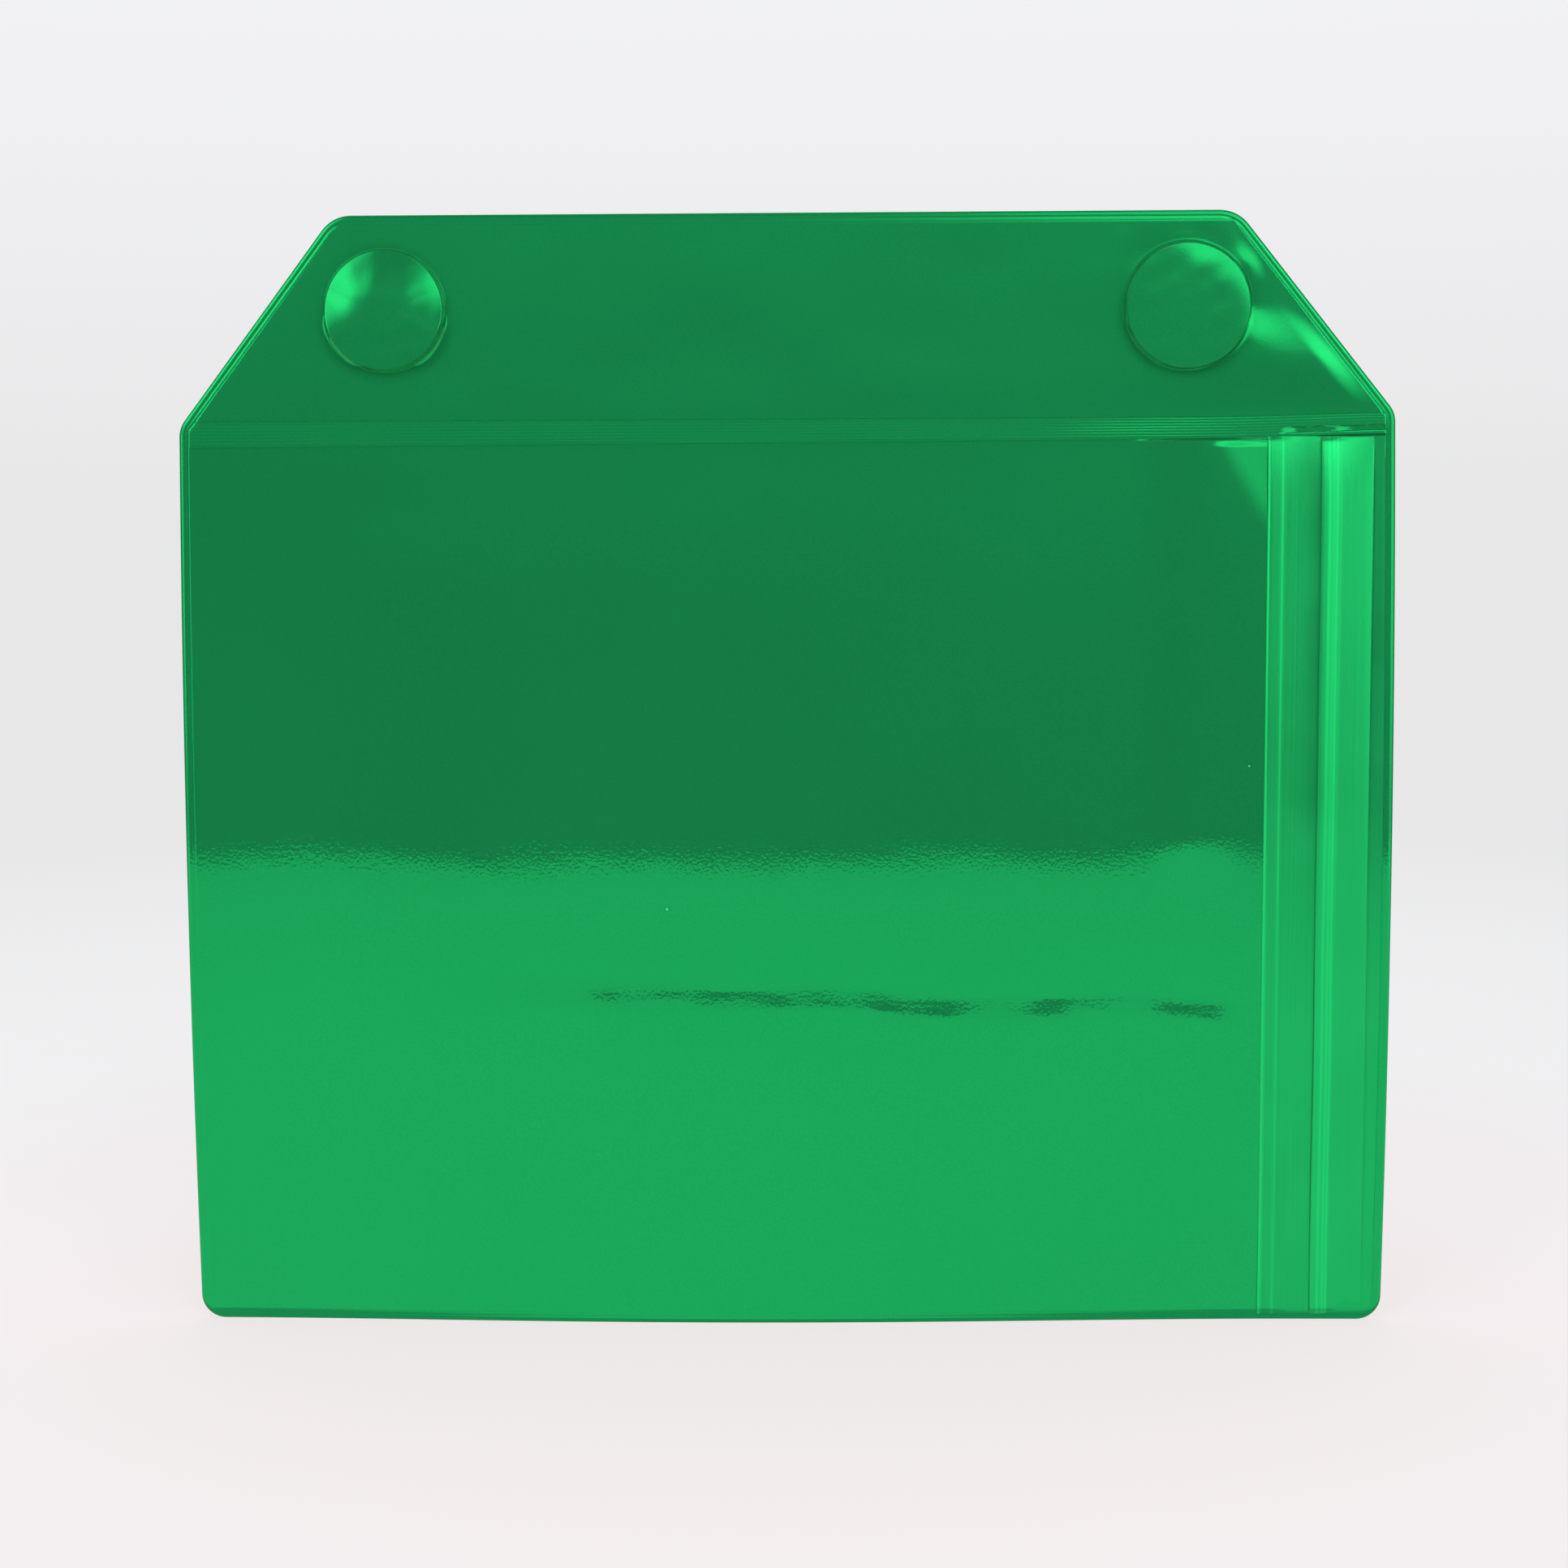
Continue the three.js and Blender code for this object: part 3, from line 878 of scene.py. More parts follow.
@dataclass
class HeaderCover(WeldedPart):
    """Front film of the header with its two blisters and the ribbed weld band below it."""

    fold: Fold
    depth: float = 0.75
    thickness: float = 0.3
    edge_soft: float = 0.06
    soft_from: float = 1.6
    soft_run: float = 1.1
    swells: Waves = ((0.055, 70.0, 11), (0.028, 24.0, 12))
    calm_inset: Span = (1.5, 12.0)
    calm_rise: float = 12.0
    fold_rise: float = 0.65
    rise_across: Span = (80.0, 116.0)
    rise_top: float = 10.0
    band_bottom: float = -25.3
    band_share: float = 0.929
    band_taper: float = 0.00094
    band_rise: float = 0.14
    rib_count: int = 7
    rib_pitch: float = 0.62
    rib_height: float = 0.012
    rib_share: float = 0.7
    rib_wear: Waves = ((0.4, 45.0, 16),)
    rib_drift: float = 6.0
    seam_width: float = 0.3
    seam_depth: float = 0.1
    seam_wall: float = 0.01
    crush_depth: float = 0.4
    crush_top: Span = (-23.2, -23.4)
    crush_foot: Span = (-24.6, -24.4)
    crush_left: Span = (94.2, 95.0)
    crush_right: Span = (113.4, 112.6)
    crush_uneven: Waves = ((0.12, 7.0, 13),)
    spared: float = 103.0
    spared_reach: float = 1.8
    spared_share: float = 0.8
    fan_height: float = 0.58
    fan_from: Span = (11.6, 12.0)
    fan_headings: tuple[float, float, float] = (4.0, -32.0, -115.0)
    fan_foot: Span = (0.5, 12.0)
    fan_inset: Span = (1.3, 5.5)
    dent_height: float = 0.22
    dent: Pair = (86.2, 7.4)
    dent_reach: float = 3.4
    puckers: Waves = ((0.035, 9.0, 15),)
    pucker_ring: float = 15.0
    pucker_reach: float = 4.0
    pucker_rise: Span = (2.0, 9.0)
    pucker_inset: Span = (1.6, 5.0)
    core: float = 82.0
    wedge_columns: int = 44
    wedge_power: float = 1.6
    blisters: tuple[Blister, ...] = (
        Blister("blister_left", -75.0),
        Blister(
            "blister_right", 75.4, rise=3.0, flat_radius=11.4, foot_radius=11.9, ring_radius=12.15,
            ring_rise=0.02, skirt=0.1, slack=0.35, slack_from=6.0, slack_power=2.0,
            slack_heading=math.radians(46), slack_aside=(0.35, 0.95), lean=0.012,
        ),
    )

    def front(self, x: np.ndarray, z: np.ndarray) -> np.ndarray:
        """Gives the depth of the film's front at each place, without the weld band.

        Args:
            x: Places across.
            z: Heights.

        Returns:
            The depth at each place.
        """
        inset = self.outline.inset(x, z)
        beside = np.exp(-np.clip(inset - self.soft_from, 0.0, None) / self.soft_run)
        soft = self.edge_soft * ease(x, *self.outline.left_slope) * beside
        depth = self.depth - self.outline.pinch(inset) - soft + self.pulled_film(x, z, inset)
        calm = ease(inset, *self.calm_inset) * ease(z, self.fold.height, self.fold.height + self.calm_rise)
        return depth + calm * ripples(x, z, self.swells)

    def height(self, x: np.ndarray, row: np.ndarray) -> np.ndarray:
        """Gives the real height of a grid row, as the fold rises and the band narrows to the right.

        Args:
            x: Places across.
            row: Heights of the even grid.

        Returns:
            The height at each place.
        """
        below = np.minimum(row - self.fold.height, 0.0)
        rise = self.fold_rise * ease(x, *self.rise_across) * ease(row, self.rise_top, self.fold.height)
        return row + rise - below * (1.0 - self.band_share + self.band_taper * x)

    def pulled_film(self, x: np.ndarray, z: np.ndarray, inset: np.ndarray) -> np.ndarray:
        """Gives the ridge, dent and puckers between the right blister and the sloping edge.

        Args:
            x: Places across.
            z: Heights.
            inset: How far inside the outer edge each place is.

        Returns:
            How far forwards the film is pulled.
        """
        across = x - self.blisters[1].x
        radius, heading = np.hypot(across, z), np.degrees(np.arctan2(z, across))
        upper, full, lower = self.fan_headings
        foot, head = (self.fold.height + rise for rise in self.fan_foot)
        ridge = self.fan_height * ease(heading, upper, full) * ease(heading, lower, full)
        ridge = ridge * ease(z, foot, head)
        dent = self.dent_height * bell(np.hypot(x - self.dent[0], z - self.dent[1]), self.dent_reach)
        ring = bell(radius - self.pucker_ring, self.pucker_reach)
        puckers = ripples(x, z, self.puckers) * ring * ease(z, *self.pucker_rise)
        film = ease(inset, *self.fan_inset) * ridge + ease(inset, *self.pucker_inset) * (dent + puckers)
        return ease(radius, *self.fan_from) * film

    def band(self, x: np.ndarray, z: np.ndarray) -> np.ndarray:
        """Gives the height of the weld band, its ribs, its seam and the bars' marks at the strip's end.

        Args:
            x: Places across.
            z: Heights.

        Returns:
            How far the band stands forwards of the film.
        """
        fold = self.fold.height
        inside = np.clip((fold - z) / (fold - self.band_bottom), 0.0, 1.0)
        seam = self.seam_depth * (np.abs(z - fold) < self.seam_width / 2)
        last = fold - self.rib_count * self.rib_pitch
        ribs = self.rib_height * (0.5 - 0.5 * np.cos(2.0 * math.pi * (z - last) / self.rib_pitch))
        worn = self.rib_share + ripples(x, self.rib_drift * z, self.rib_wear)
        ribs = ribs * (z < fold) * (z > last) * worn
        uneven = ripples(x, np.zeros_like(x), self.crush_uneven)
        crush = ease(z - uneven, *self.crush_top) * ease(z, *self.crush_foot)
        crush = crush * ease(x, *self.crush_left) * ease(x, *self.crush_right)
        crush = crush * (1.0 - self.spared_share * bell(x - self.spared, self.spared_reach))
        return inside * self.band_rise + ribs - seam - self.crush_depth * crush

    def build(self) -> list[bpy.types.Object]:
        """Builds the cover with its blisters and dresses them.

        Returns:
            The film and its blisters.
        """
        top, wall = self.outline.top - self.outline.film_inset, self.seam_wall
        low, high = (self.fold.height + side * self.seam_width / 2 for side in (-1, 1))
        rows = stops(
            (self.band_bottom, low - wall, 0.12), (low - wall, low + wall, 0.02),
            (low + wall, high - wall, 0.08), (high - wall, high + wall, 0.02), (high + wall, -13.0, 0.6),
            (-13.0, 13.0, 0.8), (13.0, top - 0.6, 0.3), (top - 0.6, top, 0.08),
        )
        inner = stops((-self.core, -60.0, 0.9), (-60.0, 60.0, 1.6), (60.0, self.core, 0.9))
        wedge = 1.0 - np.linspace(1.0, 0.0, self.wedge_columns + 1)[1:] ** self.wedge_power
        wedges = []
        for side in (-1, 1):
            heights = self.height(side * self.outline.half_width, rows)
            end = self.outline.edge_at(heights, self.outline.film_inset, side)[:, None]
            wedges.append(side * self.core + (end - side * self.core) * wedge)
        middle = np.repeat(inner[None], len(rows), axis=0)
        x = np.concatenate([wedges[0][:, ::-1], middle, wedges[1]], axis=1)
        row = np.broadcast_to(rows[:, None], x.shape)
        z = self.height(x, row)
        hole = np.any([blister.covers(x, z) for blister in self.blisters], axis=0)
        front = self.front(x, z) + self.band(x, row)
        points, faces = gridded_film(self.lie.place(x, front, z), self.thickness, hole)
        piece = add_piece(
            "header_film", points, faces, self.finish, Slot.FILM, "header_cover", "header_weld"
        )
        self.fold.bend(piece)
        return [piece] + [blister.build(self) for blister in self.blisters]


@dataclass(frozen=True)
class Strip:
    """Where the closing strip lies and how it is pressed flat at its welded ends."""

    top: float = -24.3
    bottom: float = -193.1
    level_run: float = 14.0
    level_run_low: float = 26.0
    crush_run: float = 0.9
    crushed: float = 0.15
    weld_depth: float = 0.75
    lift: float = 1.0
    pad: float = 0.06
    web_pad: float = 0.12
    web: Span = (104.0, 98.0)

    def level(self, z: np.ndarray) -> np.ndarray:
        """Gives how far the strip has risen from its welded ends, from 0 to 1."""
        left = np.clip(1.0 - (self.top - z) / self.level_run, 0.0, 1.0)
        return (1.0 - left**2) * ease(z, self.bottom, self.bottom + self.level_run_low)

    def crush(self, z: np.ndarray) -> np.ndarray:
        """Gives the share of the tape's own section that is left, from its crushed ends inwards.

        Args:
            z: Heights.

        Returns:
            The share at each height.
        """
        high = ease(z, self.top, self.top - self.crush_run)
        low = ease(z, self.bottom, self.bottom + self.crush_run)
        return self.crushed + (1.0 - self.crushed) * high * low

    def depth(self, x: np.ndarray, section: np.ndarray, z: np.ndarray) -> np.ndarray:
        """Presses a section's depths flat towards the ends.

        Args:
            x: Places across of the free section.
            section: Depths of the free section.
            z: Height of each station.

        Returns:
            Depths by station and place round the section.
        """
        proud = section[None, :] - self.weld_depth - self.lift
        level, crush = self.level(z)[:, None], self.crush(z)[:, None]
        share = np.where(proud > 0.0, crush, np.minimum(level, crush))
        pad = (self.pad + self.web_pad * ease(x, *self.web))[None, :]
        return self.weld_depth + self.lift * level + proud * share + pad * (1.0 - level)


@dataclass
class PocketFilm(WeldedPart):
    """Front film of the pocket, from the weld band to the bottom weld and from the left edge to the mouth."""

    strip: Strip
    thickness: float = 0.3
    right_edge: float = 93.4
    top: float = -23.6
    middle_lift: float = 0.35
    lift_inset: float = 1.5
    lift_left: float = -60.0
    lift_high: float = 32.6
    lift_low: float = 30.0
    by_strip: Span = (65.0, 82.0)
    corner_reach: Pair = (14.0, 20.0)
    corner_slack: float = 0.06
    slack_across: Span = (91.5, 81.5)
    slack_up: Span = (-60.0, -36.0)
    quick_start: Span = (-24.7, -25.0)
    slow_start: Span = (-25.1, -26.3)
    slow_share: float = 0.2
    slow_across: Span = (79.0, 85.0)
    calm_inset: Span = (1.5, 16.0)
    calm_right: float = 10.0
    calm_top: Span = (2.0, 16.0)
    swells: Waves = ((0.03, 130.0, 21), (0.016, 46.0, 22), (0.0022, 13.0, 23))
    crease: float = -131.5
    crease_tilt: float = 0.03
    crease_sway: Waves = ((0.6, 60.0, 24),)
    crease_left: Span = (-85.0, -20.0)
    crease_right: Span = (93.0, 82.0)
    crease_half: float = 2.3
    crease_soft: float = 0.9
    crease_step: float = 0.158
    crease_share: float = 0.98
    crease_gain: float = 0.38
    gain_across: Span = (15.0, 65.0)
    broken_share: float = 0.9
    broken: Waves = ((0.1, 13.0, 25),)
    wrinkles: Waves = ((0.0012, 3.0, 26),)
    wrinkle_stretch: float = 0.5
    wrinkle_reach: float = 2.6
    dimple: Pair = (77.0, -100.0)
    dimple_height: float = 0.09
    dimple_reach: float = 6.0
    dimple_squash: float = 0.8
    fine_step: float = 0.001
    fine_end: float = 0.007
    coarse_start: float = 0.009
    coarse_columns: int = 170

    def front(self, x: np.ndarray, z: np.ndarray) -> np.ndarray:
        """Gives the depth of the film's front at each place.

        Args:
            x: Places across.
            z: Heights.

        Returns:
            The depth at each place.
        """
        outline, strip = self.outline, self.strip
        inset = outline.inset(x, z)
        left = ease(x, self.lift_inset - outline.half_width, self.lift_left)
        high = ease(z, strip.top, strip.top - self.lift_high)
        low = ease(z, outline.bottom + self.lift_inset, outline.bottom + self.lift_low)
        middle = self.middle_lift * left * high * low
        across, down = self.corner_reach
        corner = settle((self.right_edge - x) / across + (strip.top - z) / down)
        slow = self.slow_share * ease(x, *self.slow_across)
        start = (1.0 - slow) * ease(z, *self.quick_start) + slow * ease(z, *self.slow_start)
        foot = ease(z, strip.bottom, strip.bottom + strip.level_run_low)
        slack = self.corner_slack * ease(x, *self.slack_across) * ease(z, *self.slack_up)
        mouth = strip.lift * corner * start * foot * (1.0 + slack)
        depth = strip.weld_depth - outline.pinch(inset) + middle + (mouth - middle) * ease(x, *self.by_strip)
        calm = ease(inset, *self.calm_inset) * ease(x, self.right_edge, self.right_edge - self.calm_right)
        calm = calm * ease(self.top - z, *self.calm_top)
        return depth + calm * self.waves(x, z)

    def waves(self, x: np.ndarray, z: np.ndarray) -> np.ndarray:
        """Gives the film's slight waves, its soft broken crease and one dimple.

        Args:
            x: Places across.
            z: Heights.

        Returns:
            How far forwards each place lies.
        """
        line = self.crease - self.crease_tilt * x + ripples(x, np.zeros_like(x), self.crease_sway)
        along = ease(x, *self.crease_left) * ease(x, *self.crease_right)
        along = along * (self.crease_share + self.crease_gain * ease(x, *self.gain_across))
        along = along * (self.broken_share + ripples(x, z, self.broken))
        high, low = line + self.crease_half - z, line - self.crease_half - z
        step = high + np.hypot(high, self.crease_soft) - low - np.hypot(low, self.crease_soft)
        step = self.crease_step * step / (4.0 * self.crease_half)
        wrinkles = ripples(self.wrinkle_stretch * x, z, self.wrinkles) * bell(z - line, self.wrinkle_reach)
        away = np.hypot(x - self.dimple[0], (z - self.dimple[1]) * self.dimple_squash)
        dimple = self.dimple_height * bell(away, self.dimple_reach)
        return ripples(x, z, self.swells) + along * (step + wrinkles) + dimple

    def build(self) -> list[bpy.types.Object]:
        """Builds the film and dresses it.

        Returns:
            The film.
        """
        low = self.outline.bottom + self.outline.film_inset
        rows = stops(
            (low, low + 4.0, 0.2), (low + 4.0, -138.0, 1.25), (-138.0, -124.0, 0.4), (-124.0, -50.0, 1.25),
            (-50.0, -27.4, 0.7), (-27.4, self.top, 0.12),
        )
        fine = np.arange(0.0, self.fine_end, self.fine_step)
        shares = np.concatenate([fine, np.linspace(self.coarse_start, 1.0, self.coarse_columns)])
        left = self.outline.edge_at(rows, self.outline.film_inset, -1)[:, None]
        x = left + (self.right_edge - left) * shares
        z = np.repeat(rows[:, None], x.shape[1], axis=1)
        points, faces = gridded_film(self.lie.place(x, self.front(x, z), z), self.thickness)
        piece = add_piece("pocket_film", points, faces, self.finish, Slot.FILM, "front_film")
        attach(piece, Body.POCKET.value)
        return [piece]


@dataclass
class BackSheet(WeldedPart):
    """Back film with the full outline, from the bottom weld to the top of the header."""

    fold: Fold
    thickness: float = 0.4
    columns: int = 120

    def build(self) -> list[bpy.types.Object]:
        """Builds the sheet and dresses it.

        Returns:
            The sheet.
        """
        inset = self.outline.film_inset
        low, top = self.outline.bottom + inset, self.outline.top - inset
        rows = stops(
            (low, low + 4.0, 0.3), (low + 4.0, -26.0, 2.2), (-26.0, -18.0, 0.3), (-18.0, 13.0, 2.2),
            (13.0, top, 0.25),
        )
        left, right = (self.outline.edge_at(rows, inset, side)[:, None] for side in (-1, 1))
        x = left + (right - left) * np.linspace(0.0, 1.0, self.columns + 1)
        front = self.lie.place(x, np.full_like(x, self.thickness), rows[:, None])
        points, faces = gridded_film(front, self.thickness)
        piece = add_piece("back_film", points, faces, self.finish, Slot.FILM, "header_back", "pocket_back")
        self.fold.bend(piece)
        return [piece]


@dataclass
class WeldRim(WeldedPart):
    """Fused border all round: a rounded outer edge, the shallow groove of the welding bar and an inner bead.

    The section is inset and depth, all the way round. Part of the border is pressed flatter than the rest.
    """

    fold: Fold
    step: float = 0.9
    section: Profile = (
        (1.95, 0.02), (0.18, 0.0), (0.04, 0.05), (0.0, 0.16), (0.0, 0.38), (0.02, 0.45), (0.06, 0.51),
        (0.12, 0.555), (0.2, 0.595), (0.3, 0.63), (0.42, 0.66), (0.55, 0.682), (0.7, 0.696), (0.85, 0.7),
        (0.95, 0.694), (1.05, 0.69), (1.15, 0.694), (1.25, 0.707), (1.35, 0.723), (1.5, 0.741),
        (1.65, 0.752), (1.8, 0.756), (1.95, 0.6),
    )
    flat_level: float = 0.705
    flat_from: Pair = (0.75, 0.61)
    flat_top: float = 0.3
    flat_top_across: Span = (-90.0, -70.0)
    flat_side: float = 0.6
    flat_side_across: Span = (105.0, 111.0)
    below_shoulder: Span = (-17.0, -24.0)
    slope_sunk: float = 0.045

    def build(self) -> list[bpy.types.Object]:
        """Builds the border and dresses it.

        Returns:
            The border.
        """
        edge, normals = self.outline.loop(self.step)
        inset, depth = np.array(self.section).T
        flat = edge[:, None, :] - inset[None, :, None] * normals[:, None, :]
        x, z = flat[..., 0], flat[..., 1]
        below = ease(z, *self.below_shoulder)
        calm = self.flat_top * ease(x, *self.flat_top_across)
        calm = calm + self.flat_side * ease(np.abs(x), *self.flat_side_across) * below
        calm = calm * ((inset > self.flat_from[0]) & (depth > self.flat_from[1]))
        sunk = self.slope_sunk * ease(x, *self.outline.left_slope) * (1.0 - below)
        sections = self.lie.place(x, depth + calm * (self.flat_level - depth) - sunk, z)
        points, faces = swept_solid(sections, closed=True)
        piece = add_piece(
            "weld_rim", points, faces, self.finish, Slot.FILM, "side_weld", "bottom_weld", "mouth_weld"
        )
        self.fold.bend(piece)
        return [piece]


@dataclass
class ClosingStrip(WeldedPart):
    """Press-to-close strip: a welded margin, a flap with a groove and a pull lip, and the rib behind it.

    Sections are x and depth, but the jaw and the rib's head are half sections from the zip's middle.
    """

    strip: Strip
    middle: float = -109.0
    held_run: float = 3.0
    step: float = 1.4
    end_step: float = 0.4
    low_end: float = 6.0
    high_end: float = 8.0
    least_step: float = 0.2
    mouth_edge: float = 115.0
    follow_edge: Span = (111.0, 113.0)
    sway: Waves = ((0.12, 70.0, 31),)
    sway_in: Span = (96.0, 101.0)
    sway_out: Span = (112.0, 109.0)
    zip_centre: float = 102.95
    margin: Profile = (
        (90.7, 1.74), (90.71, 1.86), (90.75, 1.91), (90.86, 1.955), (91.0, 2.01), (91.14, 2.065),
        (91.21, 2.09), (91.27, 2.1), (91.35, 2.1), (91.6, 2.085), (92.2, 2.045), (92.8, 2.003),
        (93.3, 1.968), (93.42, 1.958), (93.55, 1.938), (93.55, 1.7),
    )
    web_front: Profile = (
        (93.55, 1.938), (93.7, 1.914), (93.8, 1.905), (94.2, 1.88), (95.0, 1.828), (96.5, 1.73),
        (97.6, 1.665), (98.6, 1.615), (99.3, 1.587), (99.9, 1.571), (100.4, 1.565), (100.62, 1.57),
    )
    ridges: Profile = (
        (100.68, 1.7), (100.74, 2.02), (100.8, 2.2), (100.88, 2.275), (101.0, 2.3), (101.2, 2.295),
        (101.8, 2.255), (102.2, 2.226), (102.32, 2.212), (102.46, 2.185), (102.62, 2.155), (102.76, 2.14),
        (103.1, 2.112), (103.36, 2.09), (103.48, 2.075), (103.62, 2.047), (103.78, 2.017), (103.92, 2.002),
        (104.2, 1.978), (104.32, 1.962), (104.46, 1.935), (104.62, 1.905), (104.78, 1.89),
    )
    lip: Profile = (
        (105.2, 1.855), (106.2, 1.777), (107.6, 1.667), (109.2, 1.541), (109.5, 1.514), (109.8, 1.483),
        (110.2, 1.44), (110.45, 1.405), (110.58, 1.375), (110.65, 1.33), (110.6, 1.27), (110.4, 1.25),
        (109.0, 1.32), (106.5, 1.53), (104.7, 1.66),
    )
    jaw: Profile = (
        (1.4, 1.66), (1.4, 1.14), (1.32, 1.06), (1.05, 1.04), (0.8, 1.14), (0.77, 1.28), (0.9, 1.38),
    )
    groove: Profile = ((103.85, 1.74), (103.75, 1.8), (102.15, 1.86), (102.05, 1.8))
    web_back: Profile = ((100.6, 1.32), (98.0, 1.4), (95.0, 1.58), (93.55, 1.7))
    rib_inner: Profile = ((97.4, 0.5), (97.4, 0.7), (97.48, 0.76))
    rib_head: Profile = (
        (0.55, 0.77), (0.35, 0.8), (0.23, 0.9), (0.23, 1.16), (0.45, 1.24), (0.5, 1.34), (0.4, 1.46),
        (0.15, 1.54),
    )
    rib_outer: Profile = (
        (108.5, 0.73), (109.2, 0.736), (112.6, 0.782), (112.85, 0.785), (112.95, 0.778), (113.1, 0.8),
        (113.15, 0.72), (113.15, 0.46),
    )
    # Shares of painted highlight across the tape: lighter green on its welded edge, crease, zip ridges and
    # lip.
    pale: Profile = (
        (90.95, 1.0), (91.5, 0.0), (93.24, 0.0), (93.44, 0.5), (93.6, 0.5), (93.85, 0.0), (100.66, 0.0),
        (100.8, 0.35), (101.8, 0.35), (102.05, 0.9), (102.3, 0.9), (102.5, 0.4), (102.9, 0.4), (103.1, 0.85),
        (103.3, 0.85), (103.48, 0.4), (103.7, 0.85), (104.0, 0.85), (104.25, 0.1), (110.6, 0.1), (110.7, 0.0),
    )

    def beside_zip(self, half: Profile, side: int) -> Profile:
        """Puts a half section on the left (-1) or right (1) of the zip's middle."""
        return tuple((self.zip_centre + side * away, depth) for away, depth in half)

    def stations(self, start: float, end: float) -> np.ndarray:
        """Lines up heights along the strip, closer together at its crushed ends.

        Args:
            start: Lower end.
            end: Upper end.

        Returns:
            The heights, with both ends.
        """
        low, high = self.strip.bottom + self.low_end, self.strip.top - self.high_end
        every = stops(
            (self.strip.bottom, low, self.end_step), (low, high, self.step),
            (high, self.strip.top, self.end_step),
        )
        inside = every[(every > start + self.least_step) & (every < end - self.least_step)]
        return np.concatenate([[start], inside, [end]])

    def sweep(self, name: str, section: Profile, z: np.ndarray, node: str) -> bpy.types.Object:
        """Draws one section along the strip.

        Args:
            name: Name of the piece.
            section: Section as x and depth, all the way round.
            z: Heights of the stations.
            node: CAD node that the piece replaces.

        Returns:
            The new piece, with the shares of its painted highlights.
        """
        x, depth = np.array(section).T
        sway = ripples(z, np.zeros_like(z), self.sway)[:, None] * ease(x, *self.sway_in)
        aside = self.outline.edge_at(z, 0.0, 1)[:, None] - self.mouth_edge
        across = x[None, :] + sway * ease(x, *self.sway_out) + aside * ease(x, *self.follow_edge)
        sections = self.lie.place(across, self.strip.depth(x, depth, z), z[:, None])
        points, faces = swept_solid(sections, closed=False)
        piece = add_piece(name, points, faces, self.finish, Slot.TAPE, node)
        # Stores the painted highlight shares on every point, for the tape's material.
        layer = piece.data.attributes.new(PAINTED_HIGHLIGHT_LAYER, "FLOAT", "POINT")
        layer.data.foreach_set("value", np.tile(np.interp(x, *zip(*self.pale)), len(z)))
        return piece

    def build(self) -> list[bpy.types.Object]:
        """Builds the strip's tapes and dresses them.

        Returns:
            The tapes.
        """
        left_head, right_head = (self.beside_zip(self.rib_head, side) for side in (-1, 1))
        left_jaw, right_jaw = (self.beside_zip(self.jaw, side) for side in (-1, 1))
        rib = self.rib_inner + left_head + right_head[::-1] + self.rib_outer
        flap = self.web_front + self.ridges + self.lip
        flap = flap + right_jaw + self.groove + left_jaw[::-1] + self.web_back
        full = self.stations(self.strip.bottom, self.strip.top)
        tapes = [
            self.sweep("strip_margin", self.margin, full, "zip_tape_margin"),
            self.sweep("strip_rib_tape", rib, full, "zip_rib_tape"),
        ]
        for tape in tapes:
            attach(tape, Body.POCKET.value)
        for name, end in (("strip_flap_upper", self.strip.top), ("strip_flap_lower", self.strip.bottom)):
            z = self.stations(min(end, self.middle), max(end, self.middle))
            half = self.sweep(name, flap, z, "zip_groove_tape")
            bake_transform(half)
            tapes.append(half)
        return tapes


@dataclass
class Magnets:
    """The two plated disc magnets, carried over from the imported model."""

    finish: bpy.types.Material
    names: tuple[str, ...] = ("magnet_left", "magnet_right")

    def build(self) -> list[bpy.types.Object]:
        """Dresses the magnets in their plating.

        Returns:
            The magnets.
        """
        discs = [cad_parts[name] for name in self.names]
        for disc in discs:
            disc.data.materials.clear()
            disc.data.materials.append(self.finish)
        return discs


@dataclass
class Camera:
    """Camera at the photograph's viewing angle."""

    place: Place = (11.89, -554.72, -29.79)
    pitch: float = math.radians(6.17)
    yaw: float = math.radians(-1.273)
    roll: float = math.radians(-0.278)
    focal_pixels: float = 3600.0
    sensor: float = 36.0

    def build(self) -> None:
        """Builds the camera and makes it the scene's own."""
        data = bpy.data.cameras.new("camera")
        data.sensor_width = self.sensor
        data.lens = self.sensor * self.focal_pixels / PHOTO_SIDE
        camera = add_object("camera", data)
        level = math.cos(self.pitch)
        ahead = Vector((math.sin(self.yaw) * level, math.cos(self.yaw) * level, -math.sin(self.pitch)))
        across = Vector((math.cos(self.yaw), -math.sin(self.yaw), 0.0))
        upright = across.cross(ahead)
        right = math.cos(self.roll) * across + math.sin(self.roll) * upright
        up = math.cos(self.roll) * upright - math.sin(self.roll) * across
        turn = Matrix((right, up, -ahead)).transposed().to_4x4()
        camera.matrix_world = Matrix.Translation(Vector(self.place) * MM) @ turn
        bpy.context.scene.camera = camera


